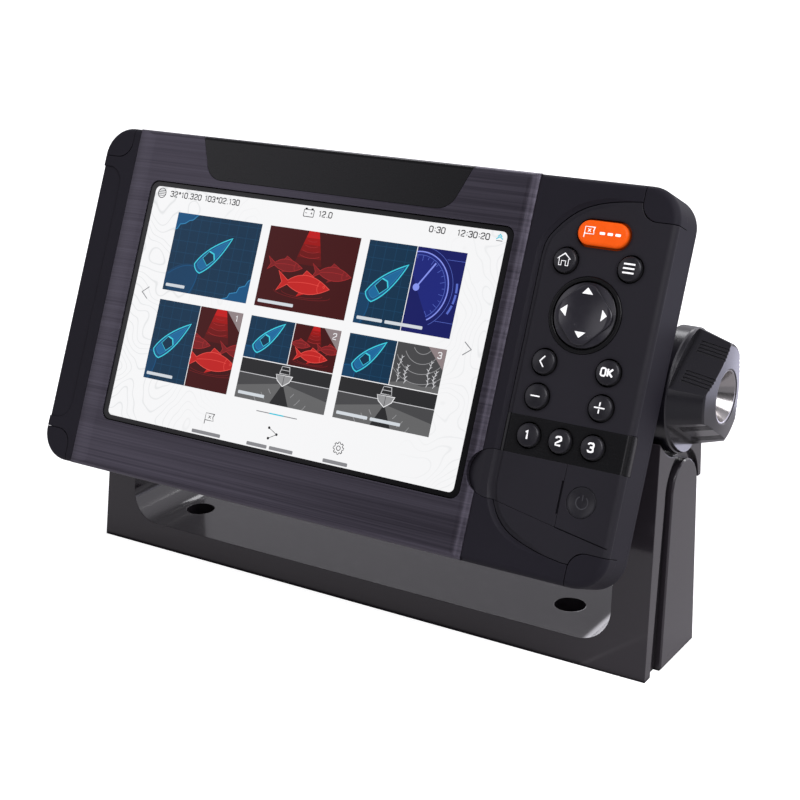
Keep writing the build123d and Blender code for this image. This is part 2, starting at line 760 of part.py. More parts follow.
def gps_antenna():
    patch = block(19.5, 44.5, MAIN_BOARD_BACK_Y, 20.0, 14.0, 39.0)
    return patch - rod(0.8, 19.6, 20.0, 32.0, 26.5)


def buzzer():
    drum = rod(6.0, MAIN_BOARD_BACK_Y, 20.6, 42.0, -30.0)
    return drum - rod(1.0, 19.6, 20.6, 42.0, -30.0)


def card_reader():
    body = block(77.0, 97.0, FRONT_WALL_Y, 24.0, -41.0, -33.5)
    return body - block(80.0, 95.0, FRONT_WALL_Y, 22.0, -38.2, -36.3)


def keypad_board():
    board = block(75.0, 118.0, BOARD_Y, BOARD_Y + 1.4, -50.0, 52.8)
    return board - block(74.0, 99.5, 8.0, 12.0, -46.0, -31.0)


def keypad_mat():
    mat = block(78.2, 115.4, 5.2, 6.2, -49.0, 52.8)
    mat -= block(75.0, 99.5, 5.0, 7.0, -46.0, -31.0)
    for x, z in list(key_spots().values()) + [power_spot()]:
        mat -= rod(3.0, 5.2, 6.2, x, z)
    for x in pill_stems():
        mat -= rod(3.0, 5.2, 6.2, x, PILL_Z)
    mat -= rod(9.6, 5.2, 6.2, DPAD_X, DPAD_Z)
    for x, z in ((80.5, 15.0), (113.5, 15.0), (KEYPAD_X, -2.0), (104.0, -46.0), (KEYPAD_X, 39.5)):
        mat += rod(1.5, 6.2, BOARD_Y, x, z)
    return mat


def dome_switches():
    spots = list(key_spots().values()) + [power_spot()]
    spots += [(x, PILL_Z) for x in pill_stems()]
    spots += dpad_contacts()
    domes = []
    for x, z in spots:
        dome = rod(2.4, BOARD_Y - 0.5, BOARD_Y, x, z)
        domes.append(chamfer(dome.edges().group_by(Axis.Y)[0], 0.3))
    return group(domes)


def pill_stems():
    return (KEYPAD_X - 5.5, KEYPAD_X + 5.5)


def display_ribbon():
    """Flat cable from the panel's edge round to the main board."""
    left, right = -40.0, -10.0
    back = MAIN_BOARD_BACK_Y + 0.4
    tail = block(left, right, 6.0, back, 51.3, 51.6)
    tail += block(left, right, back - 0.3, back, 42.0, 51.6)
    return tail + block(left, right, MAIN_BOARD_BACK_Y, back - 0.3, 42.0, 45.0)


def keypad_ribbon():
    back = MAIN_BOARD_BACK_Y + 0.3
    run = block(50.0, 78.0, MAIN_BOARD_BACK_Y, back, -12.0, 2.0)
    run += block(77.7, 78.0, BOARD_Y + 1.4, back, -12.0, 2.0)
    return run


# ---- keys ----
def stem(x, z):
    return rod(STEM_R, KEY_BACK_Y, STEM_END_Y, x, z)


def round_key(radius, x, z):
    """Domed silicone key with a retaining flange and a stem."""
    cap = rod(radius, -2.0, KEY_BACK_Y, x, z) & Pos(x, KEY_FRONT_Y + KEY_CROWN_R, z) * Sphere(KEY_CROWN_R)
    cap = fillet(cap.edges().group_by(Axis.Y)[0], 0.8)
    return cap + rod(radius + KEY_FLANGE, KEY_FLANGE_Y, KEY_BACK_Y, x, z) + stem(x, z)


def key_waypoint():
    cap = prism(pill_sketch(), KEY_FRONT_Y, KEY_BACK_Y)
    cap = fillet(cap.edges().group_by(Axis.Y)[0], 1.0)
    cap += prism(offset(pill_sketch(), amount=KEY_FLANGE), KEY_FLANGE_Y, KEY_BACK_Y)
    for x in pill_stems():
        cap += stem(x, PILL_Z)
    return cap


def power_key():
    """Wide shallow dish level with the panel."""
    x, z = power_spot()
    dish = 0.6
    dish_r = POWER_R - 0.5
    ball_r = (dish_r**2 + dish**2) / (2 * dish)
    cap = rod(POWER_R, MARGIN_Y, KEY_BACK_Y, x, z)
    cap -= Pos(x, MARGIN_Y + dish - ball_r, z) * Sphere(ball_r)
    return cap + rod(POWER_R + KEY_FLANGE, KEY_FLANGE_Y, KEY_BACK_Y, x, z) + stem(x, z)


def dpad_contacts():
    angles = [radians(a) for a in (0, 90, 180, 270)]
    return [(DPAD_X + DPAD_CONTACT * cos(a), DPAD_Z + DPAD_CONTACT * sin(a)) for a in angles]


def dpad_rocker():
    """Rounded diamond rocker with a broad dish and four sloping shoulders on the diagonals."""
    shoulder_y = 0.9
    crest_y = -0.55
    back_y = 2.6
    disc = rod(DPAD_R, shoulder_y - 0.9, back_y, DPAD_X, DPAD_Z)
    disc = chamfer(disc.edges().group_by(Axis.Y)[0], 0.9, 2.6)
    diamond = Pos(DPAD_X, DPAD_Z) * Rot(0, 0, 45) * RectangleRounded(17.2, 17.2, 4.6)
    crest = prism(diamond, crest_y, back_y) & rod(DPAD_R, crest_y, back_y, DPAD_X, DPAD_Z)
    crest = fillet(crest.edges().group_by(Axis.Y)[0], 0.5)
    pad = disc + crest
    dish = 1.15
    dish_r = 8.6
    ball_r = (dish_r**2 + dish**2) / (2 * dish)
    pad -= Pos(DPAD_X, crest_y + dish - ball_r, DPAD_Z) * Sphere(ball_r)
    pad += rod(STEM_R, back_y, 4.6, DPAD_X, DPAD_Z)
    for x, z in dpad_contacts():
        pad += rod(1.6, back_y, 8.0, x, z)
    return pad


def dpad_pivot():
    """Gimbal ring between the rocker's post and the keypad."""
    return rod(3.6, 3.3, 4.3, DPAD_X, DPAD_Z) - rod(STEM_R + 0.3, 3.3, 4.3, DPAD_X, DPAD_Z)


def card_door():
    """Cover flush with the margin, thinned at its lower hinge corner so that it swings clear.

    Its pull tab slopes down to the left for a fingernail.
    """
    door = prism(door_sketch(), MARGIN_Y, 2.4)
    tab_left = DOOR_TAB_X + (DOOR_LOW_Z - BAND_BOTTOM) / 2
    scoop_end = tab_left + 5.4
    start = tab_left - 1.0
    scoop = Polygon((start, 0), (scoop_end, 0), (scoop_end, MARGIN_Y), (start, 2.1), align=None)
    door -= Pos(0, 0, DOOR_LOW_Z - 1.0) * extrude(scoop, amount=BAND_BOTTOM - DOOR_LOW_Z + 2.0)
    groove = block(DOOR_HINGE_X - 0.6, DOOR_HINGE_X, MARGIN_Y, MARGIN_Y + 0.5, -44.0, -33.0)
    under_lip = MARGIN_Y + 0.5
    lip = block(DOOR_HINGE_X - 3.2, DOOR_HINGE_X + 1.0, under_lip, 3.0, DOOR_LOW_Z - 6.0, DOOR_LOW_Z - 3.2)
    return door - keypad_valley() - groove - lip


def world_pieces():
    right = {
        "thrust_washer": thrust_washer(),
        "knob_grip": knob_grip(),
        "knob_insert": knob_insert(),
        "clamp_stud": clamp_stud(),
    }
    pieces = {
        "trunnion_bracket": trunnion_bracket(),
        "bracket_friction_rings": bracket_friction_rings(),
    }
    for name, shape in right.items():
        pieces[name + "_right"] = at_pivot(shape)
        pieces[name + "_left"] = at_pivot(mirror(shape, about=Plane.YZ))
    return pieces


def display_pieces():
    pieces = {
        "front_bezel": front_bezel(),
        "brushed_fascia": brushed_fascia(),
        "top_insert": top_insert(),
        "corner_caps": corner_caps(),
        "screen_lens": screen_lens(),
        "lens_gasket": lens_gasket(),
        "keypad_fascia": keypad_fascia(),
        "key_band": key_band(),
        "dpad_ring": dpad_ring(),
        "rear_housing": rear_housing(),
        "housing_seal": housing_seal(),
        "housing_screws": housing_screws(),
        "pivot_inserts": pivot_inserts(),
        "power_socket": power_socket(),
        "transducer_socket": transducer_socket(),
        "socket_pins": socket_pins(),
        "socket_seals": socket_seals(),
        "breather_vent": breather_vent(),
        "lcd_panel": lcd_panel(),
        "lcd_backlight_frame": lcd_backlight_frame(),
        "main_board": main_board(),
        "board_screws": board_screws(),
        "heat_spreader": heat_spreader(),
        "gps_antenna": gps_antenna(),
        "buzzer": buzzer(),
        "card_reader": card_reader(),
        "keypad_board": keypad_board(),
        "keypad_mat": keypad_mat(),
        "dome_switches": dome_switches(),
        "display_ribbon": display_ribbon(),
        "keypad_ribbon": keypad_ribbon(),
        "key_waypoint": key_waypoint(),
        "power_key": power_key(),
        "dpad_rocker": dpad_rocker(),
        "dpad_pivot": dpad_pivot(),
        "card_door": card_door(),
    }
    for name, (x, z) in key_spots().items():
        pieces[name] = round_key(key_radius(name), x, z)
    return {name: tilted(shape) for name, shape in pieces.items()}


for name, shape in {**world_pieces(), **display_pieces()}.items():
    export_step(shape, f"parts/{name}.step")
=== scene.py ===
import json
from math import cos, hypot, pi, radians, sin

import bmesh
import bpy
from mathutils import Matrix, Vector
from mathutils.bvhtree import BVHTree
from mathutils.geometry import tessellate_polygon


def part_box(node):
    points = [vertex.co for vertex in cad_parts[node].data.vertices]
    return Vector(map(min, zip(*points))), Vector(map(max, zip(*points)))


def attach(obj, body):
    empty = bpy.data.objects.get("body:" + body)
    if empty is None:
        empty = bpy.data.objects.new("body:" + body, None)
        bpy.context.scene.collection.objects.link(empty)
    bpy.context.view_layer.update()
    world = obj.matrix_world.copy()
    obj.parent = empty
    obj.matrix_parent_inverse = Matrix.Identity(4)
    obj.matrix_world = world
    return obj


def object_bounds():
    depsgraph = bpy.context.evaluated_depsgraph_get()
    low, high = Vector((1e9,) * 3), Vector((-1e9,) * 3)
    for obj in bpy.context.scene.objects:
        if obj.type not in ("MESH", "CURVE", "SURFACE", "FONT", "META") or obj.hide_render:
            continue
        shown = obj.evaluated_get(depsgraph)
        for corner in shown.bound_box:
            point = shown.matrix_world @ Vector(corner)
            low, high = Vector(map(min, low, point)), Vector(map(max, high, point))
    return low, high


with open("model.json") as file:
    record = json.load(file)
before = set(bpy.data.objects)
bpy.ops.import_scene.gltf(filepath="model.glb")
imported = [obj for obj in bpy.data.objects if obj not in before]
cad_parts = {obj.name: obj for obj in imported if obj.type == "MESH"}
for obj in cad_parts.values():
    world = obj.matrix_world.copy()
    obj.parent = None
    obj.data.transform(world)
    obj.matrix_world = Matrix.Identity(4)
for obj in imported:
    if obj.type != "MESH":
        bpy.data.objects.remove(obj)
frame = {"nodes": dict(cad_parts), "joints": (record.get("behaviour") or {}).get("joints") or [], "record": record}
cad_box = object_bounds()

# Looks of the chartplotter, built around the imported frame.
# Pieces on the display are drawn in the screen frame, in millimetres:
# x right and z up from the screen's centre, y inward from the fascia's face.

MM = 0.001
JOINTS = {joint["name"]: joint for joint in frame["joints"]}
RIGHT = Vector((1, 0, 0))
INWARD = Vector(JOINTS["ok_press"]["axis"]).normalized()
UPWARD = RIGHT.cross(INWARD)
LENS_FRONT = 0.4  # the lens's faces, measured inward from the fascia's face
LENS_BACK = 2.2


def middle(node):
    """Centre of a CAD node's box, in metres."""
    low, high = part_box(node)
    return (low + high) / 2


SCREEN_CENTRE = middle("screen_lens") - INWARD * (LENS_FRONT + LENS_BACK) / 2 * MM
TO_WORLD = Matrix((
    (RIGHT.x * MM, INWARD.x * MM, UPWARD.x * MM, SCREEN_CENTRE.x),
    (RIGHT.y * MM, INWARD.y * MM, UPWARD.y * MM, SCREEN_CENTRE.y),
    (RIGHT.z * MM, INWARD.z * MM, UPWARD.z * MM, SCREEN_CENTRE.z),
    (0, 0, 0, 1),
))
TO_SCREEN = TO_WORLD.inverted()


def on_screen_frame(point):
    """Screen-frame x and z of a world point."""
    local = TO_SCREEN @ Vector(point)
    return local.x, local.z


# ---------------- shader helpers
def put(tree, socket, value):
    """Link an input to an output, or set its value; a plain colour gets its alpha."""
    if isinstance(value, bpy.types.NodeSocket):
        tree.links.new(value, socket)
    elif socket.type == "RGBA" and len(value) == 3:
        socket.default_value = (*value, 1.0)
    else:
        socket.default_value = value


def make(tree, kind, inputs=None, **settings):
    """New shader node of a kind."""
    node = tree.nodes.new("ShaderNode" + kind)
    for key, value in settings.items():
        setattr(node, key, value)
    for key, value in (inputs or {}).items():
        put(tree, node.inputs[key], value)
    return node


def math_node(tree, operation, first, second=0.0, clamp=False):
    """Result of one sum, product or other plain operation."""
    node = make(tree, "Math", {0: first, 1: second}, operation=operation, use_clamp=clamp)
    return node.outputs[0]


def blank_material(name):
    """New material with its node tree and surface shader."""
    material = bpy.data.materials.new(name)
    material.use_nodes = True
    tree = material.node_tree
    return material, tree, tree.nodes["Principled BSDF"]


def object_point(tree, stretch=(1, 1, 1)):
    """Object coordinates, scaled along each axis."""
    coords = make(tree, "TexCoord").outputs["Object"]
    return make(tree, "Mapping", {"Vector": coords, "Scale": stretch}).outputs[0]


def noise(tree, point, scale, detail, roughness=0.5):
    """Smooth noise; scale is in ripples per metre."""
    settings = {"Vector": point, "Scale": scale, "Detail": detail, "Roughness": roughness}
    return make(tree, "TexNoise", settings).outputs[0]


def spread(tree, value, low, high, from_low=0.3, from_high=0.7, **settings):
    """Map a value, by default of a noise, to a range."""
    inputs = {"Value": value, "From Min": from_low, "From Max": from_high, "To Min": low, "To Max": high}
    return make(tree, "MapRange", inputs, **settings).outputs[0]


def scaled(colour, factor, lift=0.0):
    """Plain colour, brighter or darker."""
    return tuple(c * factor + lift for c in colour)


def tint(tree, factor, first, second):
    """Blend of two colours."""
    return make(tree, "Mix", {0: factor, 6: first, 7: second}, data_type="RGBA").outputs[2]


def dot_product(tree, first, second):
    return make(tree, "VectorMath", {0: first, 1: second}, operation="DOT_PRODUCT").outputs["Value"]


def rounded_normal(tree, radius_mm):
    """Normal of the surface as if its edges were rounded."""
    return make(tree, "Bevel", {"Radius": radius_mm * MM}, samples=4).outputs[0]


def edge_mask(tree, radius_mm):
    """1 on worn edges, 0 on flat faces."""
    soft = rounded_normal(tree, radius_mm)
    sharp = make(tree, "NewGeometry").outputs["Normal"]
    return spread(tree, dot_product(tree, soft, sharp), 0.0, 1.0, 0.99, 0.85)


GAP_SHADE_REACH = 1.8 * MM  # a face with another this near counts as lying in a gap, under painted shade
GAP_SHADE_CONTRAST = 1.6
GAP_SHADE_COLOUR = 0.1  # share of its colour a surface keeps deep in a gap, under painted shade


def gap_shade_mask(tree):
    """1 on open faces, falling towards 0 in gaps and grooves, where light and shine are lost; an ambient-occlusion
    mask for painted shade.
    """
    shadow = make(tree, "AmbientOcclusion", {"Distance": GAP_SHADE_REACH}, samples=6).outputs["AO"]
    return math_node(tree, "POWER", shadow, GAP_SHADE_CONTRAST)


def paint_gap_shade(tree, bsdf, colour, base, specular):
    """Set a surface's colour and shine, both weaker in gaps as painted shade; returns the painted-shade mask and
    the colour.
    """
    unshaded = gap_shade_mask(tree)
    # painted shade: the colour sinks towards a dark share of itself in gaps, and the shine fades there too
    base = tint(tree, unshaded, scaled(colour, GAP_SHADE_COLOUR), base)
    shade(tree, bsdf, colour=base, specular=math_node(tree, "MULTIPLY", unshaded, specular))
    return unshaded, base


def soft_normal(tree, height, strength, depth_mm, edge_mm):
    """Fine bump over softened edges."""
    edges = rounded_normal(tree, edge_mm)
    settings = {"Height": height, "Strength": strength, "Distance": depth_mm * MM, "Normal": edges}
    return make(tree, "Bump", settings).outputs[0]


SOCKETS = {
    "colour": "Base Color", "specular": "Specular IOR Level", "coat": "Coat Weight", "sheen": "Sheen Weight",
    "glow": "Emission Color", "glow_strength": "Emission Strength",
}


def shade(tree, bsdf, **inputs):
    """Set or link inputs of the surface shader by plain names."""
    for key, value in inputs.items():
        put(tree, bsdf.inputs[SOCKETS.get(key) or key.replace("_", " ").title()], value)


# ---------------- materials
def moulded(name, colour, roughness, grain_mm=0.35, depth_mm=0.02, specular=0.4, edge_mm=0.25, coat=0.0):
    """Spark-textured moulding: fine grain, faint mottling, slightly polished edges and painted shade in gaps."""
    material, tree, bsdf = blank_material(name)
    point = object_point(tree)
    grain = noise(tree, point, 1.0 / (grain_mm * MM), 2.0)
    mottle = noise(tree, point, 18.0, 4.0)
    worn = edge_mask(tree, edge_mm)
    base = tint(tree, spread(tree, mottle, 0.0, 1.0), scaled(colour, 0.88), scaled(colour, 1.1))
    base = tint(tree, math_node(tree, "MULTIPLY", worn, 0.45), base, scaled(colour, 1.6, 0.012))
    rough = math_node(tree, "ADD", spread(tree, mottle, -0.04, 0.04), roughness)
    rough = math_node(tree, "SUBTRACT", rough, math_node(tree, "MULTIPLY", worn, 0.08), clamp=True)
    normal = soft_normal(tree, grain, 0.35, depth_mm, edge_mm)
    unshaded, base = paint_gap_shade(tree, bsdf, colour, base, specular)
    shade(tree, bsdf, roughness=rough, normal=normal)
    if coat:
        # the coat also fades in gaps, as part of the painted shade
        gloss = math_node(tree, "MULTIPLY", unshaded, coat)
        shade(tree, bsdf, coat=gloss, coat_roughness=0.18, coat_normal=normal)
    return material


def polished(name, colour, roughness, specular=0.5, coat=0.6, edge_mm=0.3, waviness=0.006):
    """Glossy moulding with faint waviness, hairline scuffs, a little dust and painted shade in gaps."""
    material, tree, bsdf = blank_material(name)
    point = object_point(tree)
    swell = noise(tree, point, 26.0, 1.0)
    scuffs = noise(tree, object_point(tree, (1.0, 6.0, 14.0)), 160.0, 5.0, 0.7)
    dust = noise(tree, point, 900.0, 2.0)
    worn = edge_mask(tree, edge_mm)
    base = tint(tree, math_node(tree, "MULTIPLY", worn, 0.3), colour, scaled(colour, 2.2, 0.02))
    rough = math_node(tree, "ADD", spread(tree, scuffs, 0.0, 0.10, 0.5, 0.75), roughness)
    rough = math_node(tree, "ADD", rough, spread(tree, dust, 0.0, 0.05, 0.6, 0.75), clamp=True)
    normal = soft_normal(tree, swell, 0.5, waviness, edge_mm)
    unshaded, base = paint_gap_shade(tree, bsdf, colour, base, specular)
    # the coat also fades in gaps, as part of the painted shade
    gloss = math_node(tree, "MULTIPLY", unshaded, coat)
    shade(tree, bsdf, roughness=rough, normal=normal)
    shade(tree, bsdf, coat=gloss, coat_roughness=roughness * 0.5, coat_normal=normal)
    return material


def brushed_plate(name, dark, light, roughness=0.34):
    """Hairline-brushed dark plate; the grain runs across the display."""
    material, tree, bsdf = blank_material(name)
    coords = make(tree, "TexCoord").outputs["Object"]
    height = dot_product(tree, coords, UPWARD)
    across = make(tree, "SeparateXYZ", {0: coords}).outputs[0]
    flat = make(tree, "CombineXYZ", {0: across, 2: height}).outputs[0]

    def hairlines(stretch, scale, detail):
        point = make(tree, "Mapping", {"Vector": flat, "Scale": stretch}).outputs[0]
        return noise(tree, point, scale, detail, 0.6)

    fine = hairlines((1.6, 1, 300.0), 5.0, 4.0)
    broad = hairlines((0.7, 1, 60.0), 4.0, 2.0)
    streak = math_node(tree, "MULTIPLY", broad, 0.38)
    streak = math_node(tree, "ADD", math_node(tree, "MULTIPLY", fine, 0.62), streak)
    base = tint(tree, spread(tree, streak, 0.0, 1.0, 0.36, 0.66), dark, light)
    rough = math_node(tree, "ADD", spread(tree, streak, -0.08, 0.10), roughness, clamp=True)
    shade(
        tree, bsdf, colour=base, roughness=rough, metallic=0.7, anisotropic=0.7,
        tangent=make(tree, "CombineXYZ", {0: UPWARD.x, 1: UPWARD.y, 2: UPWARD.z}).outputs[0],
        normal=soft_normal(tree, fine, 0.22, 0.02, 0.2),
    )
    return material


def machined(name, colour, roughness, stretch=(1, 1, 1), depth_mm=0.01):
    """Metal with turning or drawing marks; stretch packs them closer along an axis."""
    material, tree, bsdf = blank_material(name)
    marks = noise(tree, object_point(tree, stretch), 900.0, 3.0, 0.6)
    stains = noise(tree, object_point(tree), 60.0, 3.0)
    base = tint(tree, spread(tree, stains, 0.0, 1.0), scaled(colour, 0.86), colour)
    rough = math_node(tree, "ADD", spread(tree, marks, -0.05, 0.08), roughness, clamp=True)
    shade(
        tree, bsdf, colour=base, roughness=rough, metallic=1.0,
        normal=soft_normal(tree, marks, 0.3, depth_mm, 0.15),
    )
    return material


def elastomer(name, colour, roughness, grain_mm=0.25, sheen=0.12, specular=0.4, glow=0.0):
    """Silicone or rubber: soft sheen, fine skin texture, a trace of dust and painted shade in gaps; glow sets
    painted light, an emission that brightens the rubber though it is no lamp.
    """
    material, tree, bsdf = blank_material(name)
    point = object_point(tree)
    grain = noise(tree, point, 1.0 / (grain_mm * MM), 3.0)
    dust = noise(tree, point, 240.0, 4.0, 0.7)
    base = tint(tree, spread(tree, dust, 0.0, 0.35, 0.5, 0.8), colour, scaled(colour, 1.25, 0.008))
    rough = math_node(tree, "ADD", spread(tree, dust, -0.04, 0.06), roughness, clamp=True)
    # painted shade in gaps darkens the colour, which the emission below also takes
    base = paint_gap_shade(tree, bsdf, colour, base, specular)[1]
    # glow: painted light in the rubber's own colour, an emission though the key is no lamp
    shade(
        tree, bsdf, roughness=rough, sheen=sheen, sheen_roughness=0.4, glow=base, glow_strength=glow,
        normal=soft_normal(tree, grain, 0.3, 0.015, 0.3),
    )
    return material


def circuit_board(name):
    """Solder mask with etched tracks and pale pads."""
    material, tree, bsdf = blank_material(name)
    point = object_point(tree)
    cells = make(tree, "TexVoronoi", {"Vector": point, "Scale": 420.0}, distance="CHEBYCHEV")
    tracks = spread(tree, cells.outputs["Distance"], 1.0, 0.0, 0.42, 0.48)
    pads = make(tree, "TexVoronoi", {"Vector": point, "Scale": 260.0}, distance="MANHATTAN")
    pad_mask = spread(tree, pads.outputs["Distance"], 1.0, 0.0, 0.10, 0.12)
    base = tint(tree, tracks, (0.012, 0.075, 0.035), (0.02, 0.13, 0.055))
    base = tint(tree, pad_mask, base, (0.62, 0.55, 0.33))
    shade(
        tree, bsdf, colour=base, roughness=0.32, coat=0.4,
        normal=soft_normal(tree, tracks, 0.3, 0.03, 0.15),
    )
    return material


def lit_layer(tree, bsdf, glow, strength=1.0):
    """Black surface that only glows and reflects a little, as behind the cover glass."""
    black = (0.0, 0.0, 0.0)
    shade(tree, bsdf, colour=black, roughness=0.12, specular=0.25, glow=glow, glow_strength=strength)


def backlit(name, colour, strength):
    """Lit picture layer with faint tonal variation."""
    material, tree, bsdf = blank_material(name)
    tone = noise(tree, object_point(tree), 40.0, 3.0)
    lit_layer(tree, bsdf, tint(tree, spread(tree, tone, 0.0, 1.0), colour, scaled(colour, 0.92)), strength)
    return material


def topographic(name):
    """White page with faint depth contours, as on a chart."""
    material, tree, bsdf = blank_material(name)
    height = noise(tree, object_point(tree, (1.0, 0.9, 0.9)), 22.0, 2.5, 0.45)
    rings = math_node(tree, "FRACT", math_node(tree, "MULTIPLY", height, 44.0))
    line = math_node(tree, "ABSOLUTE", math_node(tree, "SUBTRACT", rings, 0.5))
    mask = spread(tree, line, 1.0, 0.0, 0.02, 0.10)
    across = make(tree, "SeparateXYZ", {0: object_point(tree)}).outputs[0]
    sides = math_node(tree, "ABSOLUTE", across)
    fade = spread(tree, sides, 0.0, 1.0, 0.035, 0.075)
    glow = tint(tree, math_node(tree, "MULTIPLY", mask, fade), (0.92, 0.92, 0.93), (0.78, 0.79, 0.80))
    lit_layer(tree, bsdf, glow)
    return material


def printed(name, colour, roughness, glow):
    """Ink of a key legend; glow is painted light, an emission that makes the ink read brighter though the key is
    no lamp.
    """
    material, tree, bsdf = blank_material(name)
    speck = noise(tree, object_point(tree), 3000.0, 2.0)
    base = tint(tree, spread(tree, speck, 0.0, 1.0), scaled(colour, 0.93), colour)
    shade(tree, bsdf, colour=base, roughness=roughness, glow=base, glow_strength=glow)
    return material


SATIN = {"roughness": 0.50, "grain_mm": 0.3, "depth_mm": 0.012, "specular": 0.35}
SATIN_COLOUR = (0.026, 0.024, 0.032)


def dark_slots():
    """Plastics and rubbers that show from outside."""
    return {
        "bracket": polished("bracket_gloss", (0.036, 0.031, 0.037), 0.14, 0.55, 0.5, edge_mm=0.5),
        "knob": moulded(
            "knob_satin", (0.012, 0.011, 0.016), 0.26,
            grain_mm=0.5, depth_mm=0.01, specular=0.6, edge_mm=0.15, coat=0.5,
        ),
        "housing": moulded(
            "housing_texture", (0.022, 0.020, 0.029), 0.60, grain_mm=0.4, specular=0.24, edge_mm=0.4
        ),
        "fascia": brushed_plate("fascia_hairline", (0.072, 0.064, 0.086), (0.175, 0.160, 0.205)),
        "gloss_black": polished("gloss_black", (0.010, 0.010, 0.011), 0.22, 0.35, 0.2, edge_mm=0.15),
        "keypad": moulded("keypad_satin", SATIN_COLOUR, **SATIN, edge_mm=0.3),
        "soft_cover": moulded("cover_soft", SATIN_COLOUR, **SATIN, edge_mm=0.2),
        "lens": polished("lens_black", (0.004, 0.004, 0.005), 0.05, 0.5, 0.3, edge_mm=0.1, waviness=0.001),
        "silicone": elastomer("silicone_black", (0.019, 0.018, 0.024), 0.34, grain_mm=0.3, specular=0.6),
        # the orange key glows with painted light so its colour reads brighter; it is no lamp
        "orange_silicone": elastomer(
            "silicone_orange", (0.88, 0.10, 0.002), 0.42, grain_mm=0.3, sheen=0.05, specular=0.3, glow=0.55
        ),
        "rubber_seal": elastomer("seal_rubber", (0.014, 0.014, 0.014), 0.62),
        "component_black": moulded("component_black", (0.022, 0.022, 0.022), 0.5),
    }


def pale_slots():
    """Metals, boards and other parts, mostly inside."""
    return {
        "nylon": moulded("nylon", (0.72, 0.70, 0.64), 0.5),
        "chrome": machined("chrome", (0.56, 0.54, 0.53), 0.16, (1, 5, 0.6), 0.05),
        "stud_steel": machined("stud_steel", (0.62, 0.62, 0.63), 0.28, (8, 1, 1)),
        "panel_glass": polished("panel_glass", (0.03, 0.03, 0.04), 0.08),
        "tray_steel": machined("tray_steel", (0.55, 0.56, 0.58), 0.35, (1, 6, 1)),
        "board": circuit_board("solder_mask"),
        "aluminium": machined("aluminium", (0.78, 0.79, 0.80), 0.38, (1, 1, 7)),
        "ceramic": moulded("ceramic", (0.62, 0.54, 0.42), 0.6),
        "film": polished("polyimide", (0.42, 0.17, 0.03), 0.2),
        "brass": machined("brass", (0.72, 0.53, 0.25), 0.3, (7, 1, 1)),
        "gold": machined("gold_plate", (0.86, 0.64, 0.28), 0.22, (1, 7, 1)),
        "screw_steel": machined("screw_steel", (0.52, 0.52, 0.54), 0.3),
    }


def dress(node, material):
    """Give a CAD node its material."""
    mesh = frame["nodes"][node].data
    mesh.materials.clear()
    mesh.materials.append(material)


SLOTS = {**dark_slots(), **pale_slots()}
for part in frame["record"]["subparts"]:
    dress(part["node"], SLOTS[part["material_slot"]])
rocker_skin = elastomer("silicone_satin", (0.030, 0.028, 0.038), 0.22, grain_mm=0.35, sheen=0.1, specular=0.9)
dress("dpad_rocker", rocker_skin)


# ---------------- flat artwork
STEP = 0.025  # from one printed or lit layer to the next, mm
NUDGE = 0.004  # keeps two sheets on one layer from sharing a plane
TUCK = 0.006
EVERYWHERE = (-500, -500, 500, 500)
TINY_AREA = 1e-6


def curve_points(start, bend, end, steps=8):
    """Points of a quadratic curve."""
    points = []
    for i in range(steps + 1):
        t = i / steps
        shares = ((1 - t) ** 2, 2 * t * (1 - t), t * t)
        points.append(tuple(sum(k * v for k, v in zip(shares, ends)) for ends in zip(start, bend, end)))
    return points


def arc(x, z, radius, start, end, steps):
    """Points of an arc, angles in degrees."""
    angles = [radians(start + (end - start) * i / steps) for i in range(steps + 1)]
    return [(x + radius * cos(a), z + radius * sin(a)) for a in angles]


def ring_points(x, z, radius, steps=32):
    """Points of a full circle."""
    return arc(x, z, radius, 0, 360, steps)[:-1]


def rectangle(x0, z0, x1, z1):
    return [(x0, z0), (x1, z0), (x1, z1), (x0, z1)]


def rounded_rectangle(x0, z0, x1, z1, radius, steps):
    """Rectangle with quarter-circle corners, anticlockwise from the lower right."""
    left, right = x0 + radius, x1 - radius
    low, high = z0 + radius, z1 - radius
    corners = ((right, low, -90), (right, high, 0), (left, high, 90), (left, low, 180))
    points = []
    for x, z, start in corners:
        points += arc(x, z, radius, start, start + 90, steps)
    return points


def placed(points, x=0.0, z=0.0, scale=1.0, turn=0.0):
    """Points scaled, turned by degrees and moved."""
    c = cos(radians(turn)) * scale
    s = sin(radians(turn)) * scale
    return [(x + px * c - pz * s, z + px * s + pz * c) for px, pz in points]


def unit(dx, dz):
    """Direction of a step, with length 1."""
    length = hypot(dx, dz) or 1.0
    return dx / length, dz / length


def area(points):
    """Signed area; positive when the outline runs anticlockwise."""
    total = 0.0
    for (ax, az), (bx, bz) in zip(points, points[1:] + points[:1]):
        total += ax * bz - bx * az
    return total / 2


def clipped(points, window):
    """Convex outline cut to a rectangle."""
    x0, z0, x1, z1 = window
    for axis, limit, sign in ((0, x0, 1), (0, x1, -1), (1, z0, 1), (1, z1, -1)):
        kept = []
        for i, here in enumerate(points):
            before = points[i - 1]
            inside = sign * (here[axis] - limit) >= 0
            if inside != (sign * (before[axis] - limit) >= 0):
                t = (limit - before[axis]) / (here[axis] - before[axis])
                kept.append(tuple(a + (b - a) * t for a, b in zip(before, here)))
            if inside:
                kept.append(here)
        points = kept
    return points


SKINS = {}


def skin(node):
    """Ray-castable surface of a CAD node, in world metres."""
    if node not in SKINS:
        solid = frame["nodes"][node]
        points = [solid.matrix_world @ vertex.co for vertex in solid.data.vertices]
        SKINS[node] = BVHTree.FromPolygons(points, [face.vertices[:] for face in solid.data.polygons])
    return SKINS[node]


def front_of(node, x=0.0, z=0.0):
    """How far inward a CAD node's front lies at a place on the display, in mm."""
    before = TO_WORLD @ Vector((x, -20.0, z))
    hit = skin(node).ray_cast(before, INWARD)[0]
    return (TO_SCREEN @ hit).y if hit else None


PAGE_Y = front_of("screen_lens") - STEP


def level(number):
    """Front of a layer; higher numbers lie nearer the viewer."""
    return PAGE_Y - STEP * number


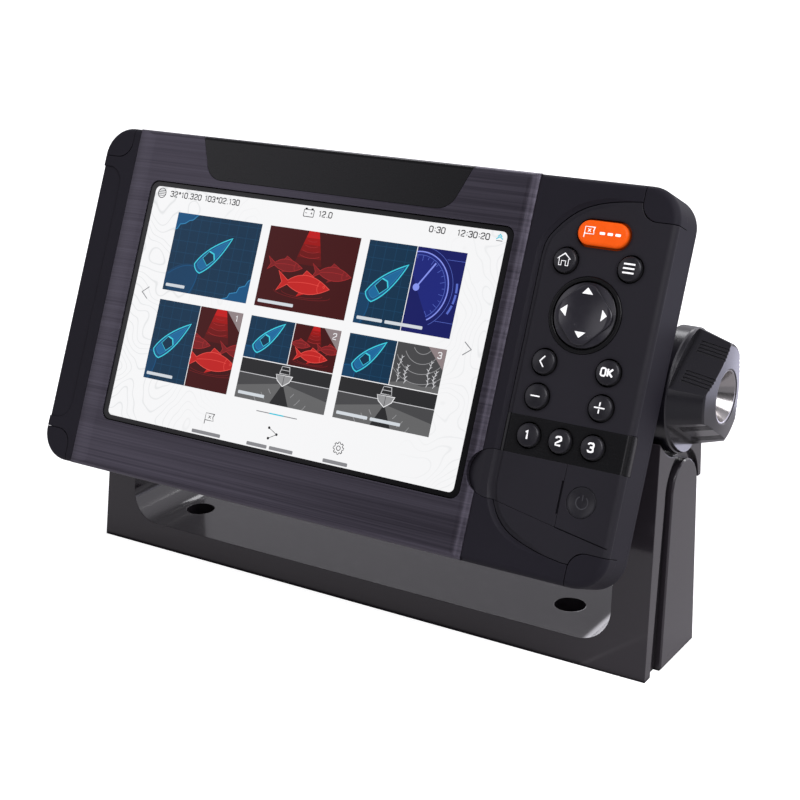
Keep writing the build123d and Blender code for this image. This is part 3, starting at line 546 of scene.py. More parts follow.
class Art:
    """Thin closed layers of flat shapes, one material for each, joined into one piece."""

    def __init__(self, thickness=2 * STEP):
        self.thickness = thickness
        self.mesh = bmesh.new()
        self.materials = []
        self.window = EVERYWHERE

    def sheet(self, faces, material, y):
        """Closed layer over convex faces, given as lists of (x, z)."""
        if material not in self.materials:
            self.materials.append(material)
        slot = self.materials.index(material)
        pairs = {}
        edges = {}

        def pair(point):
            """Front and back vertex at a place, under a rounded key."""
            key = (round(point[0], 4), round(point[1], 4))
            if key not in pairs:
                depths = (y, y + self.thickness)
                pairs[key] = [self.mesh.verts.new((key[0], depth, key[1])) for depth in depths]
            return key

        def add(corners):
            """Face between corners, unless the mesh has it already."""
            try:
                self.mesh.faces.new(corners).material_index = slot
            except ValueError:
                return

        for points in faces:
            points = clipped(points, self.window)
            if len(points) < 3 or abs(area(points)) < TINY_AREA:
                continue
            if area(points) < 0:
                points.reverse()
            keys = []
            for point in points:
                key = pair(point)
                if key not in keys:
                    keys.append(key)
            if len(keys) < 3:
                continue
            add([pairs[key][0] for key in keys])
            add([pairs[key][1] for key in reversed(keys)])
            for i, key in enumerate(keys):
                edges[(keys[i - 1], key)] = True
        for start, end in edges:
            if (end, start) not in edges:
                add([pairs[start][1], pairs[start][0], pairs[end][0], pairs[end][1]][::-1])

    def fill(self, outline, material, y):
        """Filled outline."""
        loop = [Vector((px, pz, 0)) for px, pz in outline]
        faces = [[loop[i].xy for i in triangle] for triangle in tessellate_polygon([loop])]
        self.sheet(faces, material, y)

    def stroke(self, points, width, material, y, closed):
        """Line of constant width with mitred bends."""
        count = len(points)
        left, right = [], []
        for i, (x, z) in enumerate(points):
            before = points[i - 1] if i or closed else points[i]
            after = points[(i + 1) % count] if i < count - 1 or closed else points[i]
            ax, az = unit(x - before[0], z - before[1]) if before != (x, z) else (0, 0)
            bx, bz = unit(after[0] - x, after[1] - z) if after != (x, z) else (0, 0)
            tx, tz = unit(ax + bx, az + bz)
            reach = width / 2 / max(abs(tx * (bx or ax) + tz * (bz or az)), 0.5)
            left.append((x - tz * reach, z + tx * reach))
            right.append((x + tz * reach, z - tx * reach))
        faces = []
        for i in range(count if closed else count - 1):
            j = (i + 1) % count
            faces.append([left[i], right[i], right[j], left[j]])
        self.sheet(faces, material, y)

    def patch(self, outline, colour, number, shift=0.0):
        """Lit patch on a numbered layer."""
        self.fill(outline, LIT[colour], level(number) + shift)

    def line(self, points, width, colour, number, shift=0.0, closed=False):
        """Lit line on a numbered layer."""
        self.stroke(points, width, LIT[colour], level(number) + shift, closed)

    def drape(self, node, lift=0.035, sink=0.06, reach=0.5):
        """Lay the flat layers on a CAD node's front, lifted a little; no edge stays longer than reach."""
        most_rounds = 6
        for _ in range(most_rounds):
            long_edges = [edge for edge in self.mesh.edges if edge.calc_length() > reach]
            if not long_edges:
                break
            bmesh.ops.subdivide_edges(self.mesh, edges=long_edges, cuts=1)
            bmesh.ops.triangulate(self.mesh, faces=self.mesh.faces)
        for vertex in self.mesh.verts:
            front = front_of(node, vertex.co.x, vertex.co.z) or 0.0
            vertex.co.y = front - lift if vertex.co.y < 0 else front + sink

    def piece(self, name, body, slot):
        """Finish the layers as an object that rides on a body."""
        mesh = bpy.data.meshes.new(name)
        self.mesh.to_mesh(mesh)
        self.mesh.free()
        for material in self.materials:
            mesh.materials.append(material)
        mesh.transform(TO_WORLD)
        piece = bpy.data.objects.new(name, mesh)
        bpy.context.scene.collection.objects.link(piece)
        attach(piece, body)


# Strokes of plain signs on a field 2 wide and 3 high, each as (closed, points).
SIGNS = {
    "0": [(True, [(0.45, 0), (1.55, 0), (2, 0.45), (2, 2.55), (1.55, 3), (0.45, 3), (0, 2.55), (0, 0.45)])],
    "1": [(False, [(0.45, 2.35), (1.15, 3), (1.15, 0)])],
    "2": [(False, [(0.05, 2.3), (0.05, 2.65), (0.4, 3), (1.6, 3), (1.95, 2.65), (1.95, 1.85),
                   (0.05, 0.6), (0.05, 0), (2, 0)])],
    "3": [(False, [(0.05, 2.4), (0.05, 2.65), (0.4, 3), (1.6, 3), (1.95, 2.65), (1.95, 1.9), (1.6, 1.55),
                   (1.95, 1.2), (1.95, 0.35), (1.6, 0), (0.4, 0), (0.05, 0.35), (0.05, 0.6)]),
          (False, [(0.7, 1.55), (1.6, 1.55)])],
    "K": [(False, [(0.05, 0), (0.05, 3)]), (False, [(1.95, 3), (0.5, 1.5), (2.0, 0)])],
    "+": [(False, [(0, 1.5), (2, 1.5)]), (False, [(1, 0.5), (1, 1.24)]), (False, [(1, 1.76), (1, 2.5)])],
    "-": [(False, [(0.1, 1.5), (1.9, 1.5)])],
    "<": [(False, [(1.5, 3), (0.3, 1.5), (1.5, 0)])],
    ":": [(False, [(1, 0.6), (1, 1.0)]), (False, [(1, 2.0), (1, 2.4)])],
    ".": [(False, [(1, -0.1), (1, 0.3)])],
    "o": [(True, ring_points(1, 2.4, 0.45, 10))],
    " ": [],
}
SIGNS["O"] = SIGNS["0"]
PITCH = 1.42  # from one sign to the next, in sign widths
NARROW = {":": 0.55, ".": 0.5, "o": 0.75, " ": 0.7, "1": 0.8}


def write(art, text, x, z, height, width, colour, number):
    """Row of lit signs with its lower left corner at x, z."""
    scale = height / 3
    for sign in text:
        room = NARROW.get(sign, 1.0)
        for closed, points in SIGNS[sign]:
            row = placed(points, x - (1 - room) * scale, z, scale)
            art.line(row, width, colour, number, closed=closed)
        x += 2 * scale * PITCH * room


# ---------------- screen pictures
def display_colour(red, green, blue):
    """Linear colour of an 8-bit display colour."""
    return tuple(((c / 255 + 0.055) / 1.055) ** 2.4 for c in (red, green, blue))


# 8-bit display colours of the lit layers.
GLOWS = {
    "chart_sea": (18, 52, 79), "chart_grid": (24, 66, 98), "chart_land": (21, 82, 128),
    "chart_shore": (50, 132, 182), "hull_fill": (26, 84, 132), "hull_deck": (28, 106, 158),
    "hull_line": (66, 208, 226), "wake": (20, 64, 100),
    "red_deep": (68, 17, 18), "red_dim": (126, 30, 33), "red_body": (196, 36, 34),
    "red_line": (240, 82, 74), "red_faint": (168, 44, 46),
    "beam_0": (88, 18, 19), "beam_1": (112, 18, 18), "beam_2": (136, 18, 17), "beam_3": (160, 18, 16),
    "beam_4": (196, 24, 24),
    "indigo": (25, 30, 100), "indigo_soft": (31, 40, 124), "indigo_line": (92, 112, 206),
    "needle": (140, 154, 246),
    "grey_dark": (44, 44, 46), "grey_mid": (74, 74, 76), "grey_water": (104, 104, 105),
    "grey_line": (150, 150, 152), "grey_pale": (205, 205, 208), "badge": (146, 132, 134),
    "white": (244, 244, 246), "bar": (214, 220, 226), "ink": (34, 34, 38), "ink_soft": (138, 138, 142),
    "cyan": (40, 202, 224),
}
BRIGHTER = {"hull_line": 1.05}
BEAM_BANDS = 5
LIT = {
    name: backlit("lit_" + name, display_colour(*colour), BRIGHTER.get(name, 1.0))
    for name, colour in GLOWS.items()
}

# Outlines of the pictures, each about its own centre; boats and fish are about 2 long and point right.
HULL = (curve_points((-0.78, -0.21), (-0.1, -0.42), (1.0, 0.0), 12)
        + curve_points((1.0, 0.0), (-0.1, 0.42), (-0.78, 0.21), 12)[1:]
        + curve_points((-0.78, 0.21), (-0.9, 0.0), (-0.78, -0.21), 4)[1:-1])
DECK = [(px * 0.82 - 0.02, pz * 0.70) for px, pz in HULL]
WAKE = (curve_points((-0.80, 0.16), (-1.2, 0.75), (-2.2, 0.7))
        + curve_points((-2.2, -0.9), (-1.2, -0.6), (-0.80, -0.16)))
COCKPIT = [(-0.38, -0.17), (-0.02, -0.20), (0.08, 0.0), (-0.02, 0.20), (-0.38, 0.17)]
EYE = ring_points(0.78, 0.03, 0.035, 8)
FISH = (curve_points((-0.62, 0.07), (0.05, 0.60), (1.0, -0.02), 12)
        + curve_points((1.0, -0.02), (0.15, -0.52), (-0.62, -0.06), 12)[1:]
        + [(-1.0, -0.30), (-0.84, 0.0), (-1.04, 0.34)])
FIN = [(-0.12, 0.27), (0.02, 0.46), (0.34, 0.30)]
LOW_FIN = [(-0.1, -0.24), (-0.2, -0.40), (0.12, -0.28)]
GILL = curve_points((0.62, 0.20), (0.46, 0.0), (0.60, -0.20), 6)
FLANK = curve_points((-0.6, 0.0), (0.0, 0.12), (0.6, 0.04))
BOW = [(-3.6, 1.5), (3.6, 1.5), (2.7, -0.6), (0.0, -2.5), (-2.7, -0.6)]
CABIN = [(-2.2, 2.0), (-1.6, 4.7), (1.6, 4.7), (2.2, 2.0)]


HEADING = 44  # of the boats on the charts, degrees from the right
GRID_PITCH = 4.4


def chart_grid(art, window):
    """Straight grid lines over a chart."""
    x0, z0, x1, z1 = window
    for i in range(1, int((x1 - x0) / GRID_PITCH) + 1):
        x = x0 + i * GRID_PITCH - 1.6
        art.line([(x, z0), (x, z1)], 0.22, "chart_grid", 2)
    for i in range(1, int((z1 - z0) / GRID_PITCH) + 2):
        z = z0 + i * GRID_PITCH - 2.6
        art.line([(x0, z), (x1, z)], 0.22, "chart_grid", 2, -NUDGE)


def chart_scene(art, window, x, z, scale, shores=()):
    """Chart with a grid, patches of land and a boat seen from above."""
    art.window = window
    art.patch(rectangle(*window), "chart_sea", 1)
    chart_grid(art, window)
    for land in shores:
        art.patch(land, "chart_land", 3)
        art.line(land, 0.34, "chart_shore", 4, closed=True)

    def here(points):
        return placed(points, x, z, scale, HEADING)

    art.patch(here(WAKE), "wake", 3)
    for side in (1, -1):
        trail = curve_points((-0.82, 0.12 * side), (-1.15, 0.55 * side), (-1.9, 0.62 * side))
        art.line(here(trail), 0.3, "chart_land", 4)
    art.patch(here(HULL), "hull_fill", 5)
    art.line(here(HULL), 0.40, "hull_line", 6, closed=True)
    art.patch(here(DECK), "hull_deck", 6, TUCK)
    art.line(here(DECK), 0.16, "chart_shore", 7, closed=True)
    art.patch(here(COCKPIT), "chart_sea", 7, -NUDGE)
    art.line(here(COCKPIT[1:4]), 0.5, "hull_line", 8)
    art.line(here(COCKPIT), 0.16, "hull_line", 8, TUCK, closed=True)


def fish(art, x, z, scale, body, line, depth):
    """Plain fish seen from the side, nose to the right."""
    for fin in (FIN, LOW_FIN):
        art.patch(placed(fin, x, z, scale), body, depth, NUDGE)
    art.patch(placed(FISH, x, z, scale), body, depth)
    art.line(placed(FISH, x, z, scale), 0.22, line, depth + 1, closed=True)
    for detail in (FIN, GILL, FLANK):
        art.line(placed(detail, x, z, scale), 0.16, line, depth + 1, -NUDGE)
    art.line(placed(EYE, x, z, scale), 0.14, line, depth + 1, closed=True)


def sonar_scene(art, window, x, scale, drop=0.0):
    """Red sonar view: a beam from above, its arcs and three fish."""
    top = window[3]
    art.window = window
    art.patch(rectangle(*window), "red_deep", 1)
    top_half, bottom_half = 2.2 * scale, 6.0 * scale
    depth = 12.5 * scale
    for i in range(BEAM_BANDS):
        near, far = i / BEAM_BANDS, (i + 1) / BEAM_BANDS
        half_near = top_half + (bottom_half - top_half) * near
        half_far = top_half + (bottom_half - top_half) * far
        band = [(x - half_far, top - depth * far), (x + half_far, top - depth * far),
                (x + half_near, top - depth * near), (x - half_near, top - depth * near)]
        art.patch(band, "beam_%d" % (BEAM_BANDS - 1 - i), 2)
        radius = (3.4 + 2.0 * i) * scale
        art.line(arc(x, top + 1.5 * scale, radius, -112, -68, 8), 0.16, "red_faint", 3)
    low = top - (14.4 + drop) * scale
    fish(art, x - 9.6 * scale, low + 0.6 * scale, 7.6 * scale, "red_dim", "red_faint", 4)
    fish(art, x + 11.0 * scale, low, 8.4 * scale, "red_dim", "red_faint", 4)
    fish(art, x, low - 5.4 * scale, 11.4 * scale, "red_body", "red_line", 6)
    for radius in (9.0, 12.5):
        ripple = [(x + radius * scale * cos(a / 8), low - 8.6 * scale + 0.16 * radius * scale * sin(a / 8))
                  for a in range(-25, 1)]
        art.line(ripple, 0.14, "red_dim", 3)


def gauge_scene(art, window, x, z):
    """Indigo dial with ticks, a needle and a bar scale."""
    art.window = window
    art.patch(rectangle(*window), "indigo", 1)
    start, end = -58, 118
    art.patch([(x, z)] + arc(x, z, 12.3, start, end, 40), "indigo_soft", 2)
    rings = ((12.6, 0.42, "needle"), (11.4, 0.16, "indigo_line"), (14.4, 0.14, "indigo_line"))
    for radius, width, colour in rings:
        art.line(arc(x, z, radius, start, end, 44), width, colour, 3)
    for i in range(15):
        angle = radians(start + 2 + 12 * i)
        inner = 10.2 if i % 2 else 9.4
        tick = [(x + r * cos(angle), z + r * sin(angle)) for r in (inner, 11.2)]
        art.line(tick, 0.14, "indigo_line", 4)
    for bar in (-28, -14, 0):
        art.line(arc(x, z, 16.0, bar, bar + 12, 8), 0.8, "indigo_line", 4)
    for height in (11.0, -10.6):
        art.line([(x + 10.0, z + height), (x + 18.0, z + height)], 0.14, "indigo_line", 3)
    art.line([(x, z), (x + 5.9, z + 9.2)], 0.55, "needle", 5)
    art.patch(ring_points(x, z, 1.3), "needle", 6)


def boat_scene(art, window, x, z):
    """Grey view of a boat from ahead, over its sonar cone."""
    x0, z0, x1 = window[:3]
    art.window = window
    art.patch(rectangle(*window), "grey_dark", 1)
    art.patch(rectangle(x0, z0, x1, z), "grey_mid", 2)
    art.patch([(x0, z0), (x0, z0 + 4.5), (x, z - 1.5), (x1, z0 + 4.5), (x1, z0)], "grey_water", 3)
    art.patch([(x - 4.2, z0), (x, z - 1.5), (x + 4.2, z0)], "grey_dark", 4)
    art.line([(x0, z), (x1, z)], 0.26, "grey_pale", 4)
    for i in range(4):
        for start in (-150, -48):
            art.line(arc(x, z - 1.0, 6.5 + 3.4 * i, start, start + 18, 6), 0.24, "grey_line", 5)
    art.patch(placed(CABIN, x, z), "grey_dark", 6)
    art.line(placed(CABIN, x, z), 0.3, "grey_pale", 7, closed=True)
    art.line([(x - 1.9, z + 3.4), (x + 1.9, z + 3.4)], 0.2, "grey_pale", 7, -NUDGE)
    art.patch(placed(BOW, x, z), "grey_line", 7)
    art.line(placed(BOW, x, z), 0.26, "white", 8, closed=True)
    art.line([(x, z + 1.4), (x, z - 2.2)], 0.2, "grey_mid", 8, -NUDGE)


def weed_scene(art, window):
    """Grey view of water plants under sonar arcs."""
    x0, z0, x1, z1 = art.window = window
    art.patch(rectangle(*window), "grey_mid", 1)
    for radius in (4.0, 7.5, 11.0, 14.5):
        echo = arc((x0 + x1) / 2 + 0.5, z1 + 1.0, radius, -150, -30, 14)
        art.line(echo, 0.22, "grey_line", 2)
    ground = [(x0, z0), (x0, z0 + 1.0), (x0 + 6, z0 + 2.2), (x0 + 13, z0 + 1.4), (x1, z0 + 2.6), (x1, z0)]
    art.patch(ground, "grey_water", 3)
    for x, height in ((2.6, 9.6), (5.6, 6.6), (14.6, 9.4), (17.2, 6.2)):
        stem = [(x0 + x + 0.35 * sin(k * 0.9), z0 + 1.4 + height * k / 10) for k in range(11)]
        art.line(stem, 0.2, "grey_pale", 4)
        for k in range(1, 10):
            px, pz = stem[k]
            side = 1 if k % 2 else -1
            leaf = [(px, pz - 0.25), (px + 0.95 * side, pz + 0.75), (px, pz + 0.3)]
            art.patch(leaf, "grey_pale", 5)


def caption_bars(art, x, z, lengths, colour, height=1.15):
    """Blank bars where a caption would stand."""
    for length in lengths:
        art.patch(rounded_rectangle(x, z, x + length, z + height, 0.3, 3), colour, 9)
        x += length + 1.1


def tile_badge(art, window, number):
    """Grey corner with the tile's number."""
    right, top = window[2:]
    side = 7.2
    art.window = window
    art.patch([(right - side, top), (right, top - side), (right, top)], "badge", 9)
    write(art, number, right - 2.9, top - 3.4, 2.1, 0.36, "white", 10)


COLUMNS = ((-63.5, -23.8), (-20.0, 19.8), (23.5, 63.2))
ROWS = ((6.0, 36.0), (-28.3, 2.2))
BOAT_SCALE = 10.6
SPLIT_Z = -13.2  # foot of the small upper pictures in the last two tiles
CAPTIONS = ((9.0,), (15.8,), (10.6, 15.4), (12.4,), (11.8,), (13.0, 12.4))


def shores_of(window):
    """Land in the upper left and lower right corners of a chart."""
    x0, z0, x1, z1 = window
    north = [(-1, 1), (-1, -6.9), (1.0, -6.2), (1.9, -4.4), (4.2, -3.9),
             (6.0, -2.6), (7.6, -2.2), (9.2, -0.6), (11.0, 1)]
    south = [(1, -1), (1, 9.6), (-1.0, 8.2), (-1.9, 6.3), (-4.4, 5.4),
             (-5.2, 3.4), (-8.2, 2.6), (-8.9, 1.0), (-13.0, -0.6), (-13, -1)]
    return placed(north, x0, z1), placed(south, x1, z0)


def halves(window):
    """Left and right half of a tile, with a thin gap."""
    x0, z0, x1, z1 = window
    half = (x0 + x1) / 2
    gap = 0.15
    return (x0, z0, half - gap, z1), (half + gap, z0, x1, z1)


def small_tile(art, window, second):
    """Two small pictures over a boat seen from ahead."""
    x0, z0, x1, z1 = window
    half = (x0 + x1) / 2
    left, right = halves((x0, SPLIT_Z, x1, z1))
    chart_scene(art, left, x0 + 9.4, -5.0, 8.6)
    if second == "sonar":
        sonar_scene(art, right, half + 9.4, 0.62, -2.0)
    else:
        weed_scene(art, right)
    boat_scene(art, (x0, z0, x1, SPLIT_Z - 0.3), half, -18.8)


def screen_tiles():
    """Six lit tiles, two rows of three."""
    tiles = [(x0, z0, x1, z1) for z0, z1 in ROWS for x0, x1 in COLUMNS]
    art = Art()
    chart_scene(art, tiles[0], -43.4, 21.6, BOAT_SCALE, shores_of(tiles[0]))
    sonar_scene(art, tiles[1], -0.4, 1.0)
    left, right = halves(tiles[2])
    chart_scene(art, left, 33.6, 21.6, BOAT_SCALE)
    gauge_scene(art, right, 46.0, 21.8)
    left, right = halves(tiles[3])
    chart_scene(art, left, -54.0, -12.6, BOAT_SCALE)
    sonar_scene(art, right, -33.6, 1.0)
    small_tile(art, tiles[4], "sonar")
    small_tile(art, tiles[5], "weed")
    for window, number in zip(tiles[3:], "123"):
        tile_badge(art, window, number)
    for window, lengths in zip(tiles, CAPTIONS):
        art.window = window
        caption_bars(art, window[0] + 1.3, window[1] + 1.5, lengths, "bar")
    art.piece("screen_tiles", "display", "lens")


HALF_W = 76.8  # half of the lit page
HALF_H = 45.0


def screen_page():
    """White page with its status row, arrows and the row of symbols below the tiles."""
    page = (-HALF_W, -HALF_H, HALF_W, HALF_H)
    art = Art()
    art.fill(rounded_rectangle(*page, 2.0, 6), topographic("lit_page"), PAGE_Y)
    art.window = page
    status_row(art)
    page_arrows(art)
    symbol_row(art)
    art.piece("screen_page", "display", "lens")


def status_row(art):
    """Position, battery and time along the top of the page."""
    x, z = -73.5, 42.5  # globe
    art.line(ring_points(x, z, 1.85), 0.28, "ink", 1, closed=True)
    for offset, half in ((-1.0, 1.5), (-0.33, 1.8), (0.33, 1.8), (1.0, 1.5)):
        art.line([(x - half, z + offset), (x + half, z + offset)], 0.2, "ink", 2)
    for text, left in (("32o10.320 103o02.130", -69.2), ("12.0", -0.3), ("0:30", 46.4), ("12:30:20", 57.6)):
        write(art, text, left, 41.6, 2.0, 0.40, "ink", 1)

    x, z = -4.7, 42.5  # battery
    art.line(rounded_rectangle(x - 2.2, z - 1.5, x + 2.2, z + 1.1, 0.3, 2), 0.28, "ink", 1, closed=True)
    for side in (-1, 1):
        art.patch(rectangle(x + 1.3 * side - 0.45, z + 1.1, x + 1.3 * side + 0.45, z + 1.7), "ink", 1)
        art.line([(x + 1.2 * side - 0.4, z - 0.2), (x + 1.2 * side + 0.4, z - 0.2)], 0.2, "ink", 2)
    art.line([(x + 1.2, z - 0.6), (x + 1.2, z + 0.2)], 0.2, "ink", 2, -NUDGE)
    for i in range(2):  # mast mark
        half, rise = 1.3 - 0.5 * i, 0.8 * i
        wave = [(74.1 - half, 42.3 + rise), (74.1, 43.1 + rise), (74.1 + half, 42.3 + rise)]
        art.line(wave, 0.34, "cyan", 1)
    art.line([(72.9, 41.7), (75.3, 41.7)], 0.3, "ink_soft", 1)


def page_arrows(art):
    """Arrows at the page's sides and the line under the tiles."""
    for x, side in ((-72.9, 1), (72.3, -1)):
        art.line([(x + 3.0 * side, 6.0), (x, 3.7), (x + 3.0 * side, 1.4)], 0.34, "ink_soft", 1)
    art.line([(-9.0, -31.7), (9.0, -31.7)], 0.34, "ink_soft", 1)
    art.line([(-3.1, -31.7), (3.1, -31.7)], 0.46, "cyan", 2)


def symbol_row(art):
    """Flag, route and gear at the foot of the page, over blank captions."""
    x, z = -29.0, -38.4  # flag
    flag = [(-1.9, -2.1), (-1.9, 2.0), (2.0, 2.0), (1.5, 0.7), (2.0, -0.6), (-1.9, -0.6)]
    art.line(placed(flag, x, z), 0.3, "ink", 1)
    for number, side in ((3, 1), (2, -1)):
        line = [(-0.5, 0.7 - 0.5 * side), (0.6, 0.7 + 0.5 * side)]
        art.line(placed(line, x, z), 0.2, "ink", number)
    x, z = 0.0, -38.6  # route
    stops = [(x - 1.9, z + 1.8), (x + 1.8, z - 0.1), (x - 1.5, z - 2.0)]
    art.line(stops, 0.2, "ink", 1)
    for stop in stops:
        art.patch(ring_points(*stop, 0.5, 14), "ink", 2)
    x, z = 28.7, -38.6  # gear
    teeth = 8
    rim = []
    for i in range(teeth):
        for share, radius in ((-0.30, 1.75), (-0.18, 2.2), (0.18, 2.2), (0.30, 1.75)):
            angle = 2 * pi * (i + share) / teeth
            rim.append((x + radius * cos(angle), z + radius * sin(angle)))
    art.line(rim, 0.26, "ink", 1, closed=True)
    art.line(ring_points(x, z, 0.8, 20), 0.26, "ink", 1, closed=True)
    for x, lengths in ((-35.6, (13.2,)), (-10.2, (9.0, 10.4)), (23.4, (10.4,))):
        caption_bars(art, x, -44.5, lengths, "ink_soft", 1.3)


# ---------------- key legends
# the white legends glow with painted light so they read brighter; the grey power legend has none
INK = printed("legend_white", (0.86, 0.86, 0.87), roughness=0.4, glow=0.85)
FAINT_INK = printed("legend_grey", (0.075, 0.075, 0.085), roughness=0.5, glow=0.0)
LEGEND_Y = -0.01  # before draping, only the signs of front and back count
LEGEND_T = 0.02


def legend(name, node, body, lines, slot="silicone", ink=INK):
    """Printed lines on the front of one key: (closed, width, points about the key's centre)."""
    x, z = on_screen_frame(middle(node))
    art = Art(LEGEND_T)
    for closed, width, points in lines:
        outline = placed(points, x, z)
        if width:
            art.stroke(outline, width, ink, LEGEND_Y, closed)
        else:
            art.fill(outline, ink, LEGEND_Y)
    art.drape(node)
    art.piece(name, body, slot)


def sign_lines(text, height, width, pitch=PITCH):
    """Strokes of a short sign, centred."""
    scale = height / 3
    total = 2 * scale * (1 + pitch * (len(text) - 1))
    lines = []
    for i, sign in enumerate(text):
        for closed, points in SIGNS[sign]:
            left = i * 2 * scale * pitch - total / 2
            lines.append((closed, width, placed(points, left, -height / 2, scale)))
    return lines


def legends():
    """Legends of all the keys; the maker's word on the orange key is three dashes here."""
    house = [(-0.75, -1.9), (-1.7, -1.9), (-1.7, 0.35), (-2.2, 0.35), (0.0, 2.15), (2.2, 0.35),
             (1.7, 0.35), (1.7, -1.9), (0.75, -1.9), (0.75, -0.4), (-0.75, -0.4)]
    bars = [(False, 0.55, [(-2.0, h), (2.0, h)]) for h in (-1.45, 0.0, 1.45)]
    keys = {
        "home": [(True, 0.42, house)], "menu": bars, "back": sign_lines("<", 3.7, 0.42),
        "ok": sign_lines("OK", 2.5, 0.62, 1.45),
        "minus": sign_lines("-", 5.6, 0.44), "plus": sign_lines("+", 5.6, 0.44),
    }
    for word, sign in (("one", "1"), ("two", "2"), ("three", "3")):
        keys[word] = sign_lines(sign, 2.8, 0.66)
    for word, lines in keys.items():
        legend("legend_" + word, "key_" + word, word + "_button", lines)
    arrow = [(-1.95, 6.3), (1.95, 6.3), (0.0, 8.4)]
    arrows = [(True, 0, placed(arrow, turn=90 * k)) for k in range(4)]
    legend("legend_arrows", "dpad_rocker", "rocker", arrows)
    flag = [(-6.3, -1.9), (-6.3, 1.7), (-2.9, 1.7), (-3.2, 0.55), (-2.9, -0.6), (-6.3, -0.6)]
    cross = ([(-5.2, 0.05), (-4.2, 1.05)], [(-5.2, 1.05), (-4.2, 0.05)])
    marks = [(False, 0.34, flag)] + [(False, 0.26, line) for line in cross]
    marks += [(True, 0, rounded_rectangle(px, -0.45, px + 1.9, 0.45, 0.2, 2)) for px in (-0.9, 1.9, 4.7)]
    legend("legend_mark", "key_waypoint", "waypoint_button", marks, "orange_silicone")
    symbol = [(False, 0.42, arc(0, 0, 2.1, 122, 418, 30)), (False, 0.42, [(0, 0.6), (0, 2.6)])]
    legend("legend_power", "power_key", "power_button", symbol, ink=FAINT_INK)


screen_page()
screen_tiles()
legends()


# ---------------- studio
CAMERA_RIGHT = 327.6  # camera place from the screen's centre, mm
CAMERA_FRONT = 452.0
CAMERA_RISE = 160.9
CAMERA_TURN = 32.02
CAMERA_DIP = 19.06
LENS_MM = 72.18
SENSOR_MM = 36.0
SHIFT = 0.0142
FLOOR_BOUNCE = (0.36, 0.36, 0.37)  # what reflections see of the floor
FLOOR_GLOW = 0.90  # lifts the floor the camera sees to the white of the page behind it
ABOVE_FLOOR = 0.0006  # height of the lamps that lie on the floor, m
DOME_LEVEL = 0.10
DOME_GLOWS = (  # direction, cosine where it is full, cosine where it ends, strength
    ((-0.56, 0.78, 0.30), 0.98, 0.60, 0.30),  # behind left
    ((-0.58, 0.80, 0.06), 0.995, 0.966, 1.4),  # narrow, on the horizon behind left
    ((-0.80, -0.48, 0.44), 1.00, 0.88, 0.75),  # front left
    ((0.60, 0.75, 0.25), 0.95, 0.45, 0.9),  # behind right
    ((0.6, -0.4, 0.9), 0.95, 0.60, 0.25),  # overhead
)
SOFTBOXES = (  # name, place in metres, width, height, watts, colour; all aimed at the display
    ("overhead", (0.85, -0.45, 1.05), 0.8, 0.8, 7.0, (0.97, 0.96, 1.0)),
    ("rear_strip", (0.62, 1.25, 0.62), 0.10, 0.6, 0.9, (1.0, 1.0, 1.0)),
    ("back_fill", (-0.75, 1.05, 1.25), 0.7, 0.6, 4.0, (0.97, 0.97, 1.0)),
    ("front_strip", (0.30, -1.40, 0.80), 0.40, 0.9, 1.3, (0.97, 0.95, 1.0)),
)
FLOOR_LAMPS = (  # name, x and y in metres, width, height, watts, colour; all facing up
    ("right_near", (0.278, 0.06), 0.36, 0.36, 0.07, (1.0, 0.92, 0.98)),
    ("left_near", (-0.13, -0.205), 0.46, 0.36, 0.10, (1.0, 0.94, 0.98)),
    ("right_far", (0.36, 0.46), 0.44, 0.40, 0.8, (0.80, 0.79, 1.0)),
)


def camera():
    """Camera that sees the display from the front right and a little above."""
    data = bpy.data.cameras.new("camera")
    data.lens = LENS_MM
    data.sensor_width = SENSOR_MM
    data.shift_y = SHIFT
    data.clip_start = 0.01
    data.clip_end = 50.0
    rig = bpy.data.objects.new("camera", data)
    rig.location = SCREEN_CENTRE + Vector((CAMERA_RIGHT, -CAMERA_FRONT, CAMERA_RISE)) * MM
    rig.rotation_euler = (radians(90 - CAMERA_DIP), 0, radians(CAMERA_TURN))
    bpy.context.scene.collection.objects.link(rig)
    bpy.context.scene.camera = rig


def softbox(name, place, target, width, height, power, colour):
    """Rectangular light at a place in metres, aimed at a target and hidden from the camera."""
    data = bpy.data.lights.new(name, "AREA")
    data.shape = "RECTANGLE"
    data.size = width
    data.size_y = height
    data.energy = power
    data.color = colour
    light = bpy.data.objects.new(name, data)
    light.location = place
    light.rotation_euler = (Vector(target) - Vector(place)).to_track_quat("-Z", "Y").to_euler()
    light.visible_camera = False
    bpy.context.scene.collection.objects.link(light)


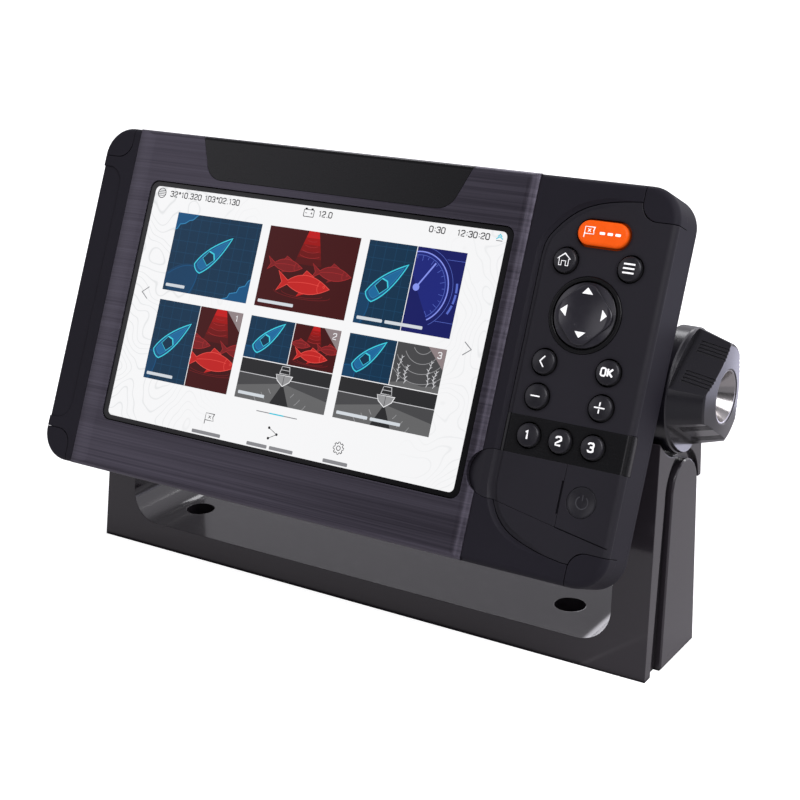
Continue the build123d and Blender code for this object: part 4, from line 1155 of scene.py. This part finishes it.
def surroundings():
    """White to the camera; to reflections a dim dome with soft glows."""
    world = bpy.data.worlds.new("studio")
    world.use_nodes = True
    tree = world.node_tree
    tree.nodes.clear()
    direction = make(tree, "TexCoord").outputs["Generated"]
    level_sum = DOME_LEVEL
    for towards, near, far, strength in DOME_GLOWS:
        facing = dot_product(tree, direction, Vector(towards).normalized())
        glow = spread(tree, facing, 0.0, strength, far, near, interpolation_type="SMOOTHSTEP")
        level_sum = math_node(tree, "ADD", glow, level_sum)
    dome = make(tree, "Background", {"Color": (0.95, 0.93, 1.0), "Strength": level_sum})
    page = make(tree, "Background", {"Color": (1, 1, 1), "Strength": 1.0})
    seen = make(tree, "LightPath").outputs["Is Camera Ray"]
    blend = make(tree, "MixShader", {0: seen, 1: dome.outputs[0], 2: page.outputs[0]})
    make(tree, "OutputWorld", {"Surface": blend.outputs[0]})
    bpy.context.scene.world = world


def floor():
    """Plain pale floor under the resting face."""
    size = 6.0
    cells = 24
    mesh = bmesh.new()
    bmesh.ops.create_grid(mesh, x_segments=cells, y_segments=cells, size=size)
    data = bpy.data.meshes.new("floor")
    mesh.to_mesh(data)
    mesh.free()
    sheet = bpy.data.objects.new("floor", data)
    sheet.location.z = cad_box[0].z
    bpy.context.scene.collection.objects.link(sheet)
    material, tree, _ = blank_material("floor_paper")
    tree.nodes.clear()
    seen = make(tree, "LightPath").outputs["Is Camera Ray"]
    fibre = noise(tree, object_point(tree), 300.0, 3.0)
    paper = tint(tree, spread(tree, fibre, 0.0, 1.0), (0.80, 0.80, 0.81), (0.83, 0.83, 0.84))
    matte = make(tree, "BsdfDiffuse", {"Color": tint(tree, seen, FLOOR_BOUNCE, paper)})
    bright = make(tree, "Emission", {"Color": (1, 1, 1), "Strength": FLOOR_GLOW})
    lift = make(tree, "MixShader", {0: seen, 2: bright.outputs[0]})
    both = make(tree, "AddShader", {0: matte.outputs[0], 1: lift.outputs[0]})
    make(tree, "OutputMaterial", {"Surface": both.outputs[0]})
    data.materials.append(material)


def studio():
    """Lights, backdrop, floor and camera."""
    bpy.context.scene.view_settings.view_transform = "Standard"
    target = (0.0, 0.0, 0.08)
    for name, place, *shape in SOFTBOXES:
        softbox(name, place, target, *shape)
    low = cad_box[0].z + ABOVE_FLOOR
    for name, (x, y), *shape in FLOOR_LAMPS:
        softbox(name, (x, y, low), (x, y, 1.0), *shape)
    surroundings()
    floor()
    camera()


studio()
